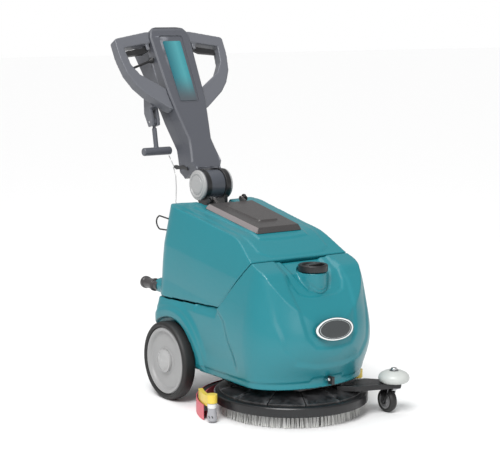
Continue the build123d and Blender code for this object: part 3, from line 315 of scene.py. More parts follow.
def within(u, v, outline):
    """How far each point (u, v) lies inside a closed outline, negative outside."""
    nearest = np.full(len(u), 1e9)
    inside = np.zeros(len(u), bool)
    for (ua, va), (ub, vb) in zip(outline, outline[1:] + outline[:1]):
        du, dv = ub - ua, vb - va
        t = np.clip(((u - ua) * du + (v - va) * dv) / (du * du + dv * dv), 0, 1)
        nearest = np.minimum(nearest, np.hypot(u - ua - t * du, v - va - t * dv))
        crossing = (va > v) != (vb > v)
        inside ^= crossing & (u < ua + (v - va) / (dv if abs(dv) > 1e-12 else 1e-12) * du)
    return np.where(inside, nearest, -nearest)


def mirrored(half):
    """A closed outline from its right-hand half."""
    return half + [(-u, v) for u, v in reversed(half)]


wheel_low, wheel_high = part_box("tyre_left")
wheel_centre = (wheel_low + wheel_high) / 2
boss_centre = (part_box("fill_cap")[0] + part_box("fill_cap")[1]) / 2


def fuller_rear(x, y):
    """How far the rear wall stands out beside the pedestal slot."""
    return 0.011 * ramp(y - 0.09, 0.07) * ramp(np.abs(x) - 0.08, 0.05) * (1 - ramp(y - 0.178, 0.02))


def shape_lower(p):
    """Recesses, ledges and flares of the lower tank."""
    x, y, z = p[:, 0].copy(), p[:, 1].copy(), p[:, 2].copy()
    side = np.sign(x) * ramp(np.abs(x) - 0.15, 0.03)
    front = ramp(-0.20 - y, 0.08)
    clear_of_boss = ramp(np.hypot(x - boss_centre.x, y - boss_centre.y) - 0.0445, 0.004)
    # chamfered top edge of the sides, cut deeper where the hands lift the tank
    rise = np.clip((z - 0.300) / 0.024, 0, 1) * (z < 0.36)
    run = ramp(y + 0.186, 0.012)
    hold = ramp(y + 0.186, 0.012) * (y < -0.058)
    p[:, 0] -= side * rise * (0.006 * run + 0.009 * hold)
    # swelling round the wheel arch
    reach = np.hypot(y - wheel_centre.y, z - wheel_centre.z)
    p[:, 0] += side * 0.006 * ramp(0.172 - reach, 0.012) * (z > 0.12)
    # side panel set in behind the front cheek
    line_y = np.interp(z, [0.12, 0.207, 0.248, 0.296, 0.331], [-0.315, -0.293, -0.267, -0.245, -0.196])
    p[:, 0] -= side * 0.006 * ramp(y - line_y, 0.03) * ramp(z - 0.13, 0.06) * ramp(reach - 0.175, 0.02)
    # wide scoop over the nose and the smaller one that holds the badge
    sweep = mirrored([(0.190, 0.46), (0.183, 0.32), (0.162, 0.235), (0.125, 0.187), (0.050, 0.172)])
    inward = front * ramp(within(x, z, sweep), 0.022)
    hollow = mirrored([(0.112, 0.48), (0.118, 0.42), (0.108, 0.33), (0.098, 0.27), (0.070, 0.236),
                       (0.030, 0.230)])
    deeper = front * ramp(within(x, z, hollow), 0.016)
    pocket = mirrored([(0.104, 0.50), (0.100, 0.43), (0.085, 0.398), (0.055, 0.386), (0.020, 0.383)])
    low = front * ramp(within(x, z, pocket), 0.011)
    seat = mirrored([(0.080, 0.50), (0.074, 0.455), (0.040, 0.405)])
    lowest = front * ramp(within(x, z, seat), 0.010)
    push = clear_of_boss * (0.006 * inward + 0.004 * deeper + 0.005 * low + 0.006 * lowest)
    slope = ramp(z - 0.33, 0.12)
    p[:, 1] += push * (1 - 0.45 * slope)
    p[:, 2] -= push * 0.9 * slope
    # ledge above the lower rim, stepping up at the middle of the nose
    ledge_z = 0.136 + 0.012 * ramp(0.062 - np.abs(x), 0.008) * (y < -0.3)
    ledge = ramp(ledge_z - z, 0.004) * ramp(-0.05 - y, 0.02)
    away = np.hypot(x, np.minimum(y + 0.15, 0)) + 1e-6
    p[:, 0] -= 0.0035 * ledge * x / away
    p[:, 1] -= 0.0035 * ledge * np.minimum(y + 0.15, 0) / away
    p[:, 1] += fuller_rear(x, y) * ramp(z - 0.20, 0.04)
    return p


def shape_upper(p):
    """Raised platform under the lid and the folded lower half of the sides."""
    x, y, z = p[:, 0].copy(), p[:, 1].copy(), p[:, 2].copy()
    top = ramp(z - 0.47, 0.03)
    lid = mirrored([(0.118, 0.10), (0.094, -0.236), (0.03, -0.242)])
    step = mirrored([(0.155, 0.14), (0.132, -0.285), (0.10, -0.305), (0.03, -0.309)])
    p[:, 2] += top * (0.004 * ramp(within(x, y, lid), 0.005) + 0.0025 * ramp(within(x, y, step), 0.008))
    side = np.sign(x) * ramp(np.abs(x) - 0.14, 0.03)
    fold_z = 0.489 - 0.131 * (0.171 - y)
    below = np.clip((fold_z - z) / 0.11, 0, 1)
    p[:, 0] -= side * 0.013 * below
    p[:, 1] += fuller_rear(x, y) * ramp(z - 0.30, 0.02)
    return p


# the pale edge colour is the teal of the highlights, painted on the sharp edges
teal = finish("teal_polyethylene", (0.010, 0.185, 0.222), (0.10, 0.40, 0.45), 0.34, 1400, 0.05, 0.35, 0.10,
              coat=0.12)
tank_voxel = 0.0031
tank_rounds = 5
lower_shell = soften(bench_copy("clean_water_tank", "solution_tank"), tank_voxel, tank_rounds, shape_lower)
fit(lower_shell, teal, "chassis", "teal_shell", "solution_tank")
upper_shell = soften(bench_copy("recovery_shell", "recovery_tank"), tank_voxel, tank_rounds, shape_upper)
fit(upper_shell, teal, "upper_tank", "teal_shell", "recovery_tank")
hinge_low, hinge_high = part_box("lid_hinge_pins")
hinge_y = (hinge_low.y + hinge_high.y) / 2
ear_reach, ear_inner, ear_outer = 0.024, 0.045, 0.075
black_plastic = finish("black_plastic", (0.012, 0.012, 0.013), (0.10, 0.10, 0.10), 0.38, 1200, 0.15, 0.35,
                       0.2)
upper_shell.data.materials.append(black_plastic)
for face in upper_shell.data.polygons:
    spot = face.center
    beside = abs(spot.y - hinge_y) < ear_reach and ear_inner < abs(spot.x) < ear_outer
    if beside and spot.z > hinge_low.z - 0.006:
        face.material_index = 1


def turned(name, profile, centre, axis, steps=96, closed=True, bevel=0.0):
    """A turned piece: a profile of (radius, height) points spun about an axis through centre."""
    work = bmesh.new()
    ring = [work.verts.new((radius, 0, height)) for radius, height in profile]
    pairs = zip(ring, ring[1:] + ring[:1]) if closed else zip(ring, ring[1:])
    edges = [work.edges.new(pair) for pair in pairs]
    bmesh.ops.spin(work, geom=ring + edges, cent=(0, 0, 0), axis=(0, 0, 1), angle=2 * math.pi, steps=steps,
                   use_merge=True)
    bmesh.ops.remove_doubles(work, verts=work.verts, dist=0.000005)
    bmesh.ops.dissolve_degenerate(work, edges=work.edges, dist=0.000005)
    bmesh.ops.recalc_face_normals(work, faces=work.faces)
    turn = Vector((0, 0, 1)).rotation_difference(Vector(axis)).to_matrix().to_4x4()
    bmesh.ops.transform(work, matrix=Matrix.Translation(centre) @ turn, verts=work.verts)
    piece = object_from(work, name)
    if bevel:
        rounding = piece.modifiers.new("rounding", "BEVEL")
        rounding.width = bevel
        rounding.segments = 3
        rounding.limit_method = "ANGLE"
        rounding.angle_limit = math.radians(24)
        settle(piece)
    piece.data.shade_smooth()
    piece.data.set_sharp_from_angle(angle=math.radians(38))
    return piece


def edged(piece, radius, corner=30, segments=2):
    """Joins flat faces, rounds the hard edges and shades the rest flat-looking."""
    work = bmesh.new()
    work.from_mesh(piece.data)
    bmesh.ops.dissolve_limit(work, angle_limit=math.radians(1.0), verts=work.verts, edges=work.edges)
    work.to_mesh(piece.data)
    work.free()
    rounding = piece.modifiers.new("rounding", "BEVEL")
    rounding.width = radius
    rounding.segments = segments
    rounding.limit_method = "ANGLE"
    rounding.angle_limit = math.radians(corner)
    settle(piece)
    piece.data.shade_smooth()
    piece.data.set_sharp_from_angle(angle=math.radians(42))
    even = piece.modifiers.new("even", "WEIGHTED_NORMAL")
    even.keep_sharp = True
    return piece


def body_of(node):
    """The CAD body that a node belongs to."""
    return nodes[node]["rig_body"]


def edged_node(node, material, slot, radius, name=None, corner=30, segments=2):
    """A CAD node's shape with its edges rounded, standing for the node."""
    piece = edged(bench_copy(name or node + "_piece", node), radius, corner, segments)
    return fit(piece, material, body_of(node), slot, node)


# screw that holds the lower rim of the nose; its notch is a black block, painted shade in place of a cut
# recess
bright_steel = finish("bright_steel", (0.55, 0.56, 0.57), (0.8, 0.8, 0.8), 0.26, 3000, 0.05, 0.2, 0.1,
                      metal=1.0)
nose_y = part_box("solution_tank")[0].y
notch_work = bmesh.new()
bmesh.ops.create_cube(notch_work, size=1, matrix=Matrix.Translation((0.006, nose_y + 0.030, 0.133))
                      @ Matrix.Diagonal((0.010, 0.020, 0.024, 1)))
bmesh.ops.bevel(notch_work, geom=notch_work.edges[:], offset=0.0012, affect="EDGES", segments=2, profile=0.5,
                material=-1)
rim_notch = object_from(notch_work, "rim_notch")
fit(rim_notch, black_plastic, "chassis", "black_plastic")
rim_screw = turned("rim_screw", [(0, 0.004), (0.0025, 0.0038), (0.0045, 0.0022), (0.005, 0.0),
                                 (0.005, -0.012), (0, -0.012)],
                   (-0.008, nose_y + 0.0245, 0.139), (0, -1, 0.15), 32, False)
fit(rim_screw, bright_steel, "chassis", "bright_steel")

# ------------------------------------------------------------------ lid
# One dark grey moulding on two pins: a sloping slab with wide bevels.
# The bevels at its sides are painted paler as a highlight where they catch the light.
lid_grey = finish("lid_grey", (0.050, 0.046, 0.046), (0.30, 0.27, 0.26), 0.36, 900, 0.2, 0.5, 0.12)
lid_side_highlight = finish("lid_side_painted_highlight", (0.24, 0.21, 0.21), (0.5, 0.46, 0.45), 0.34, 900, 0.15, 0.4, 0.10)
lid_piece = edged_node("tank_lid", lid_grey, "dark_shell", 0.0022, "lid_moulding", 14, 3)
lid_piece.data.materials.append(lid_side_highlight)
lid_low, lid_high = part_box("tank_lid")
lid_up = Vector((0, -(lid_high.z - lid_low.z) * 0.17, (lid_high.y - lid_low.y) * 0.7)).normalized()
# side bevel faces tilted part way up get the paler colour as a painted highlight
for face in lid_piece.data.polygons:
    tilt = face.normal.dot(lid_up)
    if 0.2 < tilt < 0.93 and abs(face.center.x) > 0.055 and face.area > 0.0004:
        face.material_index = 1

# ------------------------------------------------------------------ badge
# A plain oval plate, dark inside a pale rim, pressed on the nose with no lettering.
badge_low, badge_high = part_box("badge_plate")
badge_middle = (badge_low + badge_high) / 2


def badge_material():
    """Oval bands by distance from the plate's centre: pale rim, dark line, grey field."""
    material = finish("badge_enamel", (0.8, 0.82, 0.82), (0.9, 0.9, 0.9), 0.25, 2500, 0.03, 0.1, 0.05,
                      coat=0.5)
    tree = material.node_tree
    make, link = tree.nodes.new, tree.links.new
    place, centre = make("ShaderNodeTexCoord"), make("ShaderNodeMapping")
    centre.vector_type = "POINT"
    half = (badge_high - badge_low) / 2
    centre.inputs["Scale"].default_value = (1 / half.x, 0, 1 / half.z)
    centre.inputs["Location"].default_value = (-badge_middle.x / half.x, 0, -badge_middle.z / half.z)
    length = make("ShaderNodeVectorMath")
    length.operation = "LENGTH"
    bands = make("ShaderNodeValToRGB")
    bands.color_ramp.interpolation = "CONSTANT"
    field = (0.045, 0.050, 0.052, 1)
    pale = (0.78, 0.80, 0.80, 1)
    bands.color_ramp.elements[0].color = field
    bands.color_ramp.elements[1].position = 0.86
    bands.color_ramp.elements[1].color = pale
    for position, colour in ((0.76, (0.35, 0.38, 0.38, 1)), (0.79, field), (0.955, (0.02, 0.10, 0.11, 1))):
        made = bands.color_ramp.elements.new(position)
        made.color = colour
    link(place.outputs["Object"], centre.inputs["Vector"])
    link(centre.outputs["Vector"], length.inputs[0])
    link(length.outputs["Value"], bands.inputs["Fac"])
    link(bands.outputs["Color"], tree.nodes["Principled BSDF"].inputs["Base Color"])
    return material


badge_enamel = badge_material()
badge_piece = bench_copy("oval_badge", "badge_plate")
badge_work = bmesh.new()
badge_work.from_mesh(badge_piece.data)
bmesh.ops.translate(badge_work, vec=(0, -0.002, 0), verts=badge_work.verts)
badge_work.to_mesh(badge_piece.data)
badge_work.free()
badge_piece.data.shade_smooth()
badge_piece.data.set_sharp_from_angle(angle=math.radians(35))
fit(badge_piece, badge_enamel, "chassis", "badge_white", "badge_plate")

# ------------------------------------------------------------------ filler and drain caps
# Black screw caps: the filler's lies in its pocket with a bar across a sunk disc,
# and the drain's stands out at the rear.
cap_low, cap_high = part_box("fill_cap")
cap_middle = (cap_low + cap_high) / 2
cap_r = (cap_high.x - cap_low.x) / 2
cap_top = cap_high.z
cap_ring = turned(
    "filler_cap",
    [(0, cap_top - 0.011), (cap_r - 0.012, cap_top - 0.011), (cap_r - 0.010, cap_top - 0.0015),
     (cap_r - 0.003, cap_top),
     (cap_r, cap_top - 0.003), (cap_r, cap_top - 0.0205), (0.0285, cap_top - 0.0210), (0.0285, cap_low.z),
     (0, cap_low.z)],
    (cap_middle.x, cap_middle.y, 0), (0, 0, 1), 96, False, 0.0008,
)
fit(cap_ring, black_plastic, "filler", "black_plastic", "fill_cap")
bar_work = bmesh.new()
bar_place = Matrix.Translation((cap_middle.x, cap_middle.y, cap_top - 0.0055))
bar_turn = Matrix.Rotation(math.radians(18), 4, "Z")
bar_size = Matrix.Diagonal((2 * cap_r - 0.021, 0.016, 0.013, 1))
bmesh.ops.create_cube(bar_work, size=1, matrix=bar_place @ bar_turn @ bar_size)
bmesh.ops.bevel(bar_work, geom=bar_work.edges[:], offset=0.003, affect="EDGES", segments=3, profile=0.5,
                material=-1)
filler_bar = object_from(bar_work, "filler_bar")
filler_bar.data.shade_smooth()
filler_bar.data.set_sharp_from_angle(angle=math.radians(40))
fit(filler_bar, black_plastic, "filler", "black_plastic")

drain_low, drain_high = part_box("drain_cap")
drain_middle = (drain_low + drain_high) / 2
drain_r = (drain_high.x - drain_low.x) / 2
drain_long = drain_high.y - drain_low.y
drain_piece = turned(
    "drain_knob",
    [(0, 0), (drain_r - 0.006, 0), (drain_r - 0.006, 0.020), (drain_r, 0.022), (drain_r, 0.030),
     (drain_r - 0.004, 0.032),
     (drain_r - 0.004, drain_long - 0.020), (drain_r - 0.001, drain_long - 0.017),
     (drain_r - 0.001, drain_long - 0.006),
     (drain_r - 0.006, drain_long), (0, drain_long)],
    (drain_middle.x, drain_low.y, drain_middle.z), (0, 1, 0), 72, False, 0.0015,
)
cap_brown = finish("drain_cap_black", (0.045, 0.042, 0.043), (0.2, 0.18, 0.18), 0.3, 900, 0.1, 0.4, 0.1)
fit(drain_piece, cap_brown, "drain", "black_plastic", "drain_cap")

# ------------------------------------------------------------------ rear wheels
# Solid black tyres on pale grey moulded discs: a rolled bead, a dished web and a domed cap over the axle end.
tyre_black = finish("tyre_rubber", (0.012, 0.012, 0.012), (0.07, 0.07, 0.07), 0.55, 500, 0.25, 0.3, 0.25)
wheel_grey = finish("wheel_grey", (0.30, 0.30, 0.30), (0.6, 0.6, 0.6), 0.33, 1200, 0.08, 0.3, 0.08)
cap_grey = finish("hub_cap_grey", (0.36, 0.36, 0.36), (0.7, 0.7, 0.7), 0.24, 1500, 0.05, 0.3, 0.05)
tyre_section = [
    (0.1078, -0.0185), (0.1120, -0.0222), (0.1155, -0.0228), (0.1165, -0.0218), (0.1195, -0.0212),
    (0.1232, -0.0170),
    (0.1248, -0.0100), (0.1250, 0), (0.1248, 0.0100), (0.1232, 0.0170), (0.1195, 0.0212), (0.1165, 0.0218),
    (0.1155, 0.0228), (0.1120, 0.0222), (0.1078, 0.0185),
]
rim_section = [
    (0.0105, -0.018), (0.0105, 0.0145), (0.0340, 0.0145), (0.0385, 0.0142), (0.0430, 0.0108),
    (0.0840, 0.0092),
    (0.0885, 0.0118), (0.0915, 0.0165), (0.0960, 0.0198), (0.1035, 0.0202), (0.1062, 0.0170),
    (0.1076, -0.0180),
    (0.0980, -0.0190), (0.0900, -0.0100), (0.0300, -0.0080), (0.0270, -0.0180),
]
cap_section = [
    (0, 0.0335), (0.0085, 0.0333), (0.0105, 0.0322), (0.0210, 0.0303), (0.0285, 0.0272), (0.0318, 0.0240),
    (0.0362, 0.0228), (0.0368, 0.0148), (0, 0.0147),
]
for hand, out in (("left", 1), ("right", -1)):
    low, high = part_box("tyre_" + hand)
    middle = (low + high) / 2
    plane = Vector((out * (abs(middle.x) - 0.001), middle.y, middle.z))
    tyre = turned("tyre_ring_" + hand, tyre_section, middle, (out, 0, 0), 128, True)
    fit(tyre, tyre_black, "wheel_" + hand, "tyre_rubber", "tyre_" + hand)
    rim = turned("wheel_disc_" + hand, rim_section, plane, (out, 0, 0), 128, True, 0.0006)
    fit(rim, wheel_grey, "wheel_" + hand, "light_grey", "rim_" + hand)
    cap = turned("axle_cap_" + hand, cap_section, plane, (out, 0, 0), 72, False, 0.0005)
    fit(cap, cap_grey, "wheel_" + hand, "light_grey", "hub_cap_" + hand)

# ------------------------------------------------------------------ brush and deck
# A round black cover with stepped panels like fan blades, over a disc whose pale nylon tufts reach the floor.
deck_low, deck_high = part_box("deck_skirt")
deck_centre = (deck_low + deck_high) / 2
deck_r = (deck_high.x - deck_low.x) / 2
# the pale edge colour stands for the bright rim and panel highlights, painted on the sharp edges
deck_black = finish("deck_black", (0.010, 0.010, 0.011), (0.30, 0.30, 0.31), 0.33, 900, 0.12, 0.8, 0.2)
rim_top = deck_low.z + 0.030
crown_z = deck_high.z - 0.001
deck_cover = turned(
    "deck_cover",
    [(deck_r - 0.004, deck_low.z), (deck_r, deck_low.z + 0.002), (deck_r, rim_top - 0.004),
     (deck_r - 0.003, rim_top),
     (deck_r - 0.016, rim_top + 0.002), (0.110, crown_z - 0.006), (0.105, crown_z), (0.060, crown_z),
     (0.060, crown_z - 0.004), (0.100, crown_z - 0.004), (0.106, crown_z - 0.010),
     (deck_r - 0.018, rim_top - 0.003),
     (deck_r - 0.008, rim_top - 0.005), (deck_r - 0.008, deck_low.z)],
    (deck_centre.x, deck_centre.y, 0), (0, 0, 1), 144, True, 0.0008,
)
fit(deck_cover, deck_black, "chassis", "black_plastic", "deck_skirt")

panel_count = 12
panel_work = bmesh.new()
inner_r, outer_r = 0.112, deck_r - 0.017
panel_share = 0.965
sweep_angle = 2 * math.pi / panel_count * panel_share
lift = 0.0048
for number in range(panel_count):
    start = 2 * math.pi * number / panel_count + 0.10
    section = [
        (inner_r, crown_z - 0.0065), (inner_r, crown_z - 0.0062 + lift * 0.4),
        (outer_r, rim_top + 0.002 + lift),
        (outer_r, rim_top + 0.001),
    ]
    ring = [panel_work.verts.new((r * math.cos(start), r * math.sin(start), h)) for r, h in section]
    base = panel_work.faces.new(ring)
    bmesh.ops.spin(panel_work, geom=[base], cent=(0, 0, 0), axis=(0, 0, 1), angle=sweep_angle, steps=10)
bmesh.ops.recalc_face_normals(panel_work, faces=panel_work.faces)
bmesh.ops.translate(panel_work, vec=(deck_centre.x, deck_centre.y, 0), verts=panel_work.verts)
deck_panels = object_from(panel_work, "deck_panels")
edged(deck_panels, 0.0009, 30, 2)
fit(deck_panels, deck_black, "chassis", "black_plastic")

bristle_low, bristle_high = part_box("brush_bristles")
bristle_r = (bristle_high.x - bristle_low.x) / 2
nylon = finish("nylon_bristle", (0.60, 0.60, 0.58), (0.7, 0.7, 0.7), 0.5, 2500, 0.1, 0.3, 0.5)
random.seed(11)
tuft_work = bmesh.new()
for row, (row_r, tufts) in enumerate(((bristle_r - 0.008, 104), (bristle_r - 0.021, 98),
                                      (bristle_r - 0.034, 60))):
    for number in range(tufts):
        angle = 2 * math.pi * (number + 0.5 * (row % 2)) / tufts + random.uniform(-0.008, 0.008)
        root = Vector((row_r * math.cos(angle), row_r * math.sin(angle), 0))
        outward = root.normalized()
        along = Vector((-outward.y, outward.x, 0))
        for strand in range(11 if row == 0 else 7):
            a = random.uniform(-0.0042, 0.0042)
            b = random.uniform(-0.0042, 0.0042)
            top = root + along * a * 0.8 + outward * b * 0.8
            spread = 1.5 if row == 0 else 1.2
            foot = root + along * a * spread + outward * (b * spread + (0.002 if row == 0 else 0))
            foot.z = random.uniform(0.0, 0.0022)
            top.z = bristle_high.z
            middle = (top + foot) / 2
            pose = (top - foot).to_track_quat("Z", "Y").to_matrix().to_4x4()
            bmesh.ops.create_cone(tuft_work, cap_ends=True, segments=4, radius1=0.0012, radius2=0.0013,
                                  depth=(top - foot).length, matrix=Matrix.Translation(middle) @ pose)
bmesh.ops.translate(tuft_work, vec=(deck_centre.x, deck_centre.y, 0), verts=tuft_work.verts)
brush_tufts = object_from(tuft_work, "brush_tufts")
fit(brush_tufts, nylon, "brush", "bristle", "brush_bristles")
# a dark disc inside the tuft rings: painted shade standing for the shadowed inner bristles
nylon_shade = finish("brush_painted_shade", (0.05, 0.05, 0.05), (0.3, 0.3, 0.3), 0.8, 600, 0.8, 0.2, 0.6)
brush_shade_disc = turned("brush_shade_disc", [(0.06, 0.003), (bristle_r - 0.040, 0.003), (bristle_r - 0.038, 0.006),
                                   (bristle_r - 0.038, bristle_high.z), (0.06, bristle_high.z)],
                    (deck_centre.x, deck_centre.y, 0), (0, 0, 1), 96)
fit(brush_shade_disc, nylon_shade, "brush", "bristle")

# ------------------------------------------------------------------ bumper roller and caster
# A domed pale plastic roller turns on the bolt that also carries the swivel caster under the black arm.
arm_black = finish("powder_black", (0.011, 0.011, 0.012), (0.14, 0.14, 0.15), 0.42, 1600, 0.3, 0.5, 0.15)
edged_node("caster_arm", arm_black, "black_frame", 0.002, corner=25, segments=3)
roller_low, roller_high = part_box("bumper_roller")
roller_middle = (roller_low + roller_high) / 2
roller_r = (roller_high.x - roller_low.x) / 2
roller_tall = roller_high.z - roller_low.z
bumper_grey = finish("bumper_grey", (0.50, 0.52, 0.50), (0.75, 0.75, 0.75), 0.34, 1100, 0.1, 0.3, 0.06)
dome = turned(
    "bumper_dome",
    [(0.0065, 0), (roller_r - 0.010, 0), (roller_r - 0.004, 0.003), (roller_r - 0.0008, 0.009),
     (roller_r, 0.015),
     (roller_r - 0.002, 0.022), (roller_r - 0.009, 0.029), (roller_r - 0.020, 0.0345),
     (0.020, roller_tall - 0.0005),
     (0.016, roller_tall - 0.001), (0.015, roller_tall - 0.003), (0.0065, roller_tall - 0.003)],
    (roller_middle.x, roller_middle.y, roller_low.z), (0, 0, 1), 96, True,
)
dome.data.set_sharp_from_angle(angle=math.radians(60))
fit(dome, bumper_grey, "bumper", "light_grey", "bumper_roller")
washer = turned("bumper_washer", [(0.0065, 0), (0.0135, 0), (0.0135, 0.0018), (0.011, 0.0024),
                                  (0.0065, 0.0024)],
                (roller_middle.x, roller_middle.y, roller_high.z - 0.0027), (0, 0, 1), 48)
steel_dark = finish("dark_steel", (0.18, 0.18, 0.19), (0.5, 0.5, 0.5), 0.3, 1500, 0.1, 0.5, 0.1, metal=1.0)
fit(washer, steel_dark, "chassis", "bright_steel")
edged_node("bumper_bolt", bright_steel, "bright_steel", 0.0006)
edged_node("caster_fork", steel_dark, "bright_steel", 0.0005)
caster_low, caster_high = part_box("caster_wheel")
caster_middle = (caster_low + caster_high) / 2
caster_r = (caster_high.z - caster_low.z) / 2
caster_half = (caster_high.x - caster_low.x) / 2
caster_tyre = turned(
    "caster_tyre",
    [(caster_r - 0.012, -caster_half + 0.001), (caster_r - 0.006, -caster_half),
     (caster_r - 0.002, -caster_half + 0.003),
     (caster_r, -caster_half + 0.009), (caster_r, caster_half - 0.009),
     (caster_r - 0.002, caster_half - 0.003),
     (caster_r - 0.006, caster_half), (caster_r - 0.012, caster_half - 0.001)],
    caster_middle, (1, 0, 0), 72,
)
fit(caster_tyre, tyre_black, "caster_roller", "tyre_rubber", "caster_wheel")
hub_grey = finish("caster_hub_grey", (0.20, 0.20, 0.205), (0.45, 0.45, 0.45), 0.35, 1200, 0.1, 0.4, 0.1)
caster_hub = turned(
    "caster_hub",
    [(0.0045, -caster_half + 0.0005), (0.009, -caster_half + 0.0005), (0.011, -caster_half + 0.004),
     (0.019, -caster_half + 0.005), (0.022, -caster_half + 0.0015),
     (caster_r - 0.0115, -caster_half + 0.0012),
     (caster_r - 0.0115, caster_half - 0.0012), (0.022, caster_half - 0.0015), (0.019, caster_half - 0.005),
     (0.011, caster_half - 0.004), (0.009, caster_half - 0.0005), (0.0045, caster_half - 0.0005)],
    caster_middle, (1, 0, 0), 64,
)
fit(caster_hub, hub_grey, "caster_roller", "tyre_rubber", "caster_wheel")

# ------------------------------------------------------------------ squeegee
# A curved black bar with two pink rubber blades, held by yellow straps, a roller with a pale cap at each end.
blade_pink = finish("blade_rubber", (0.62, 0.12, 0.15), (0.8, 0.35, 0.38), 0.5, 700, 0.2, 0.3, 0.15)
strap_yellow = finish("strap_yellow", (0.72, 0.53, 0.06), (0.85, 0.75, 0.4), 0.32, 1300, 0.1, 0.5, 0.1)
roller_grey = finish("end_roller_grey", (0.34, 0.34, 0.36), (0.6, 0.6, 0.6), 0.36, 1100, 0.1, 0.4, 0.1)
pale_cap = finish("roller_cap_pale", (0.66, 0.66, 0.65), (0.85, 0.85, 0.85), 0.3, 1200, 0.08, 0.2, 0.05)
edged_node("squeegee_frame", arm_black, "black_frame", 0.0012)
edged_node("squeegee_blades", blade_pink, "red_rubber", 0.0006)
edged_node("squeegee_straps", strap_yellow, "yellow_strap", 0.0008)
for hand in ("left", "right"):
    low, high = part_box("end_roller_" + hand)
    middle = (low + high) / 2
    r = (high.x - low.x) / 2
    tall = high.z - low.z
    barrel = turned(
        "roller_barrel_" + hand,
        [(0, 0), (r - 0.003, 0), (r - 0.0006, 0.004), (r, 0.012), (r - 0.0004, 0.022), (r - 0.002, 0.027),
         (r - 0.002, tall - 0.016), (0, tall - 0.016)],
        (middle.x, middle.y, low.z), (0, 0, 1), 64, False, 0.0005,
    )
    fit(barrel, roller_grey, "end_roller_" + hand, "grey_shell", "end_roller_" + hand)
    cap = turned(
        "roller_cap_" + hand,
        [(0, tall - 0.0155), (r - 0.0015, tall - 0.0155), (r - 0.0008, tall - 0.006),
         (r - 0.002, tall - 0.0015),
         (r - 0.005, tall), (0, tall)],
        (middle.x, middle.y, low.z), (0, 0, 1), 64, False,
    )
    fit(cap, pale_cap, "end_roller_" + hand, "grey_shell")
    # two small black blocks on each barrel stand for its slots: painted shade in place of openings
    for letter, turn in (("a", -2.1), ("b", -2.75)):
        slot_work = bmesh.new()
        place = (Matrix.Translation((middle.x, middle.y, low.z + 0.015)) @ Matrix.Rotation(turn, 4, "Z")
                 @ Matrix.Translation((r - 0.0006, 0, 0)) @ Matrix.Rotation(0.5, 4, "X"))
        bmesh.ops.create_cube(slot_work, size=1, matrix=place @ Matrix.Diagonal((0.0016, 0.0032, 0.008, 1)))
        mark = object_from(slot_work, f"roller_slot_{hand}_{letter}")
        fit(mark, black_plastic, "end_roller_" + hand, "grey_shell")

# ------------------------------------------------------------------ handle column
# Two grey moulded halves on a round knuckle, with a sunk frame round a glossy teal inlay on the face.
# Edges carry a bright painted highlight line; the knuckle is black rings, a dark drum and grey ringed covers.
# the pale edge colours of the column and the loops are painted highlight lines
column_grey = finish("column_grey", (0.078, 0.082, 0.096), (0.42, 0.43, 0.47), 0.36, 1300, 0.15, 0.75, 0.06)
loop_grey = finish("loop_grey", (0.115, 0.120, 0.136), (0.45, 0.46, 0.50), 0.36, 1300, 0.15, 0.6, 0.06)
edged_node("column_front", column_grey, "grey_shell", 0.0024, corner=20, segments=3)
edged_node("column_back", column_grey, "grey_shell", 0.0024, corner=20, segments=3)
edged_node("control_panel", black_plastic, "black_plastic", 0.0012)
loops = soften(bench_copy("grip_frames", "grip_loops"), 0.0022, 9, None, 150000)
fit(loops, loop_grey, "column", "light_grey", "grip_loops")

joints = frame["record"]["behaviour"]["joints"]
tilt_joint = [joint for joint in joints if joint["name"] == "handle_tilt"][0]
pivot = Vector(tilt_joint["pos_m"])
cover_low, cover_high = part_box("pivot_covers")
cover_r = (cover_high.z - cover_low.z) / 2
cover_pale = finish("cover_pale", (0.36, 0.36, 0.36), (0.8, 0.8, 0.8), 0.33, 1400, 0.06, 0.3, 0.05)
for hand, out in (("left", 1), ("right", -1)):
    cover = turned(
        "knuckle_cover_" + hand,
        [(0, 0.0078), (0.0140, 0.0080), (0.0255, 0.0092), (0.0280, 0.0088), (0.0290, 0.0072),
         (0.0350, 0.0072),
         (0.0362, 0.0094), (0.0405, 0.0098), (0.0418, 0.0084), (0.0440, 0.0082), (cover_r - 0.0025, 0.0074),
         (cover_r, 0.0050), (cover_r, 0), (0, 0)],
        (out * (cover_high.x - 0.0105), pivot.y, pivot.z), (out, 0, 0), 96, False, 0.0004,
    )
    fit(cover, cover_pale, "column", "light_grey", "pivot_covers")
    band = turned(
        "knuckle_band_" + hand,
        [(0.0455, -0.0085), (0.0500, -0.0085), (0.0504, -0.0070), (0.0504, 0.0070), (0.0500, 0.0085),
         (0.0455, 0.0085)],
        (out * 0.0375, pivot.y, pivot.z), (1, 0, 0), 96, True, 0.0006,
    )
    fit(band, black_plastic, "column", "black_plastic")
drum_dark = finish("drum_dark", (0.060, 0.066, 0.080), (0.25, 0.26, 0.3), 0.34, 1200, 0.1, 0.3, 0.08)
drum = turned(
    "knuckle_drum",
    [(0, -0.0272), (0.0440, -0.0272), (0.0462, -0.0262), (0.0468, -0.0240), (0.0468, 0.0240),
     (0.0462, 0.0262),
     (0.0440, 0.0272), (0, 0.0272)],
    pivot, (1, 0, 0), 96, False,
)
fit(drum, drum_dark, body_of("pivot_drum"), "dark_shell", "pivot_drum")


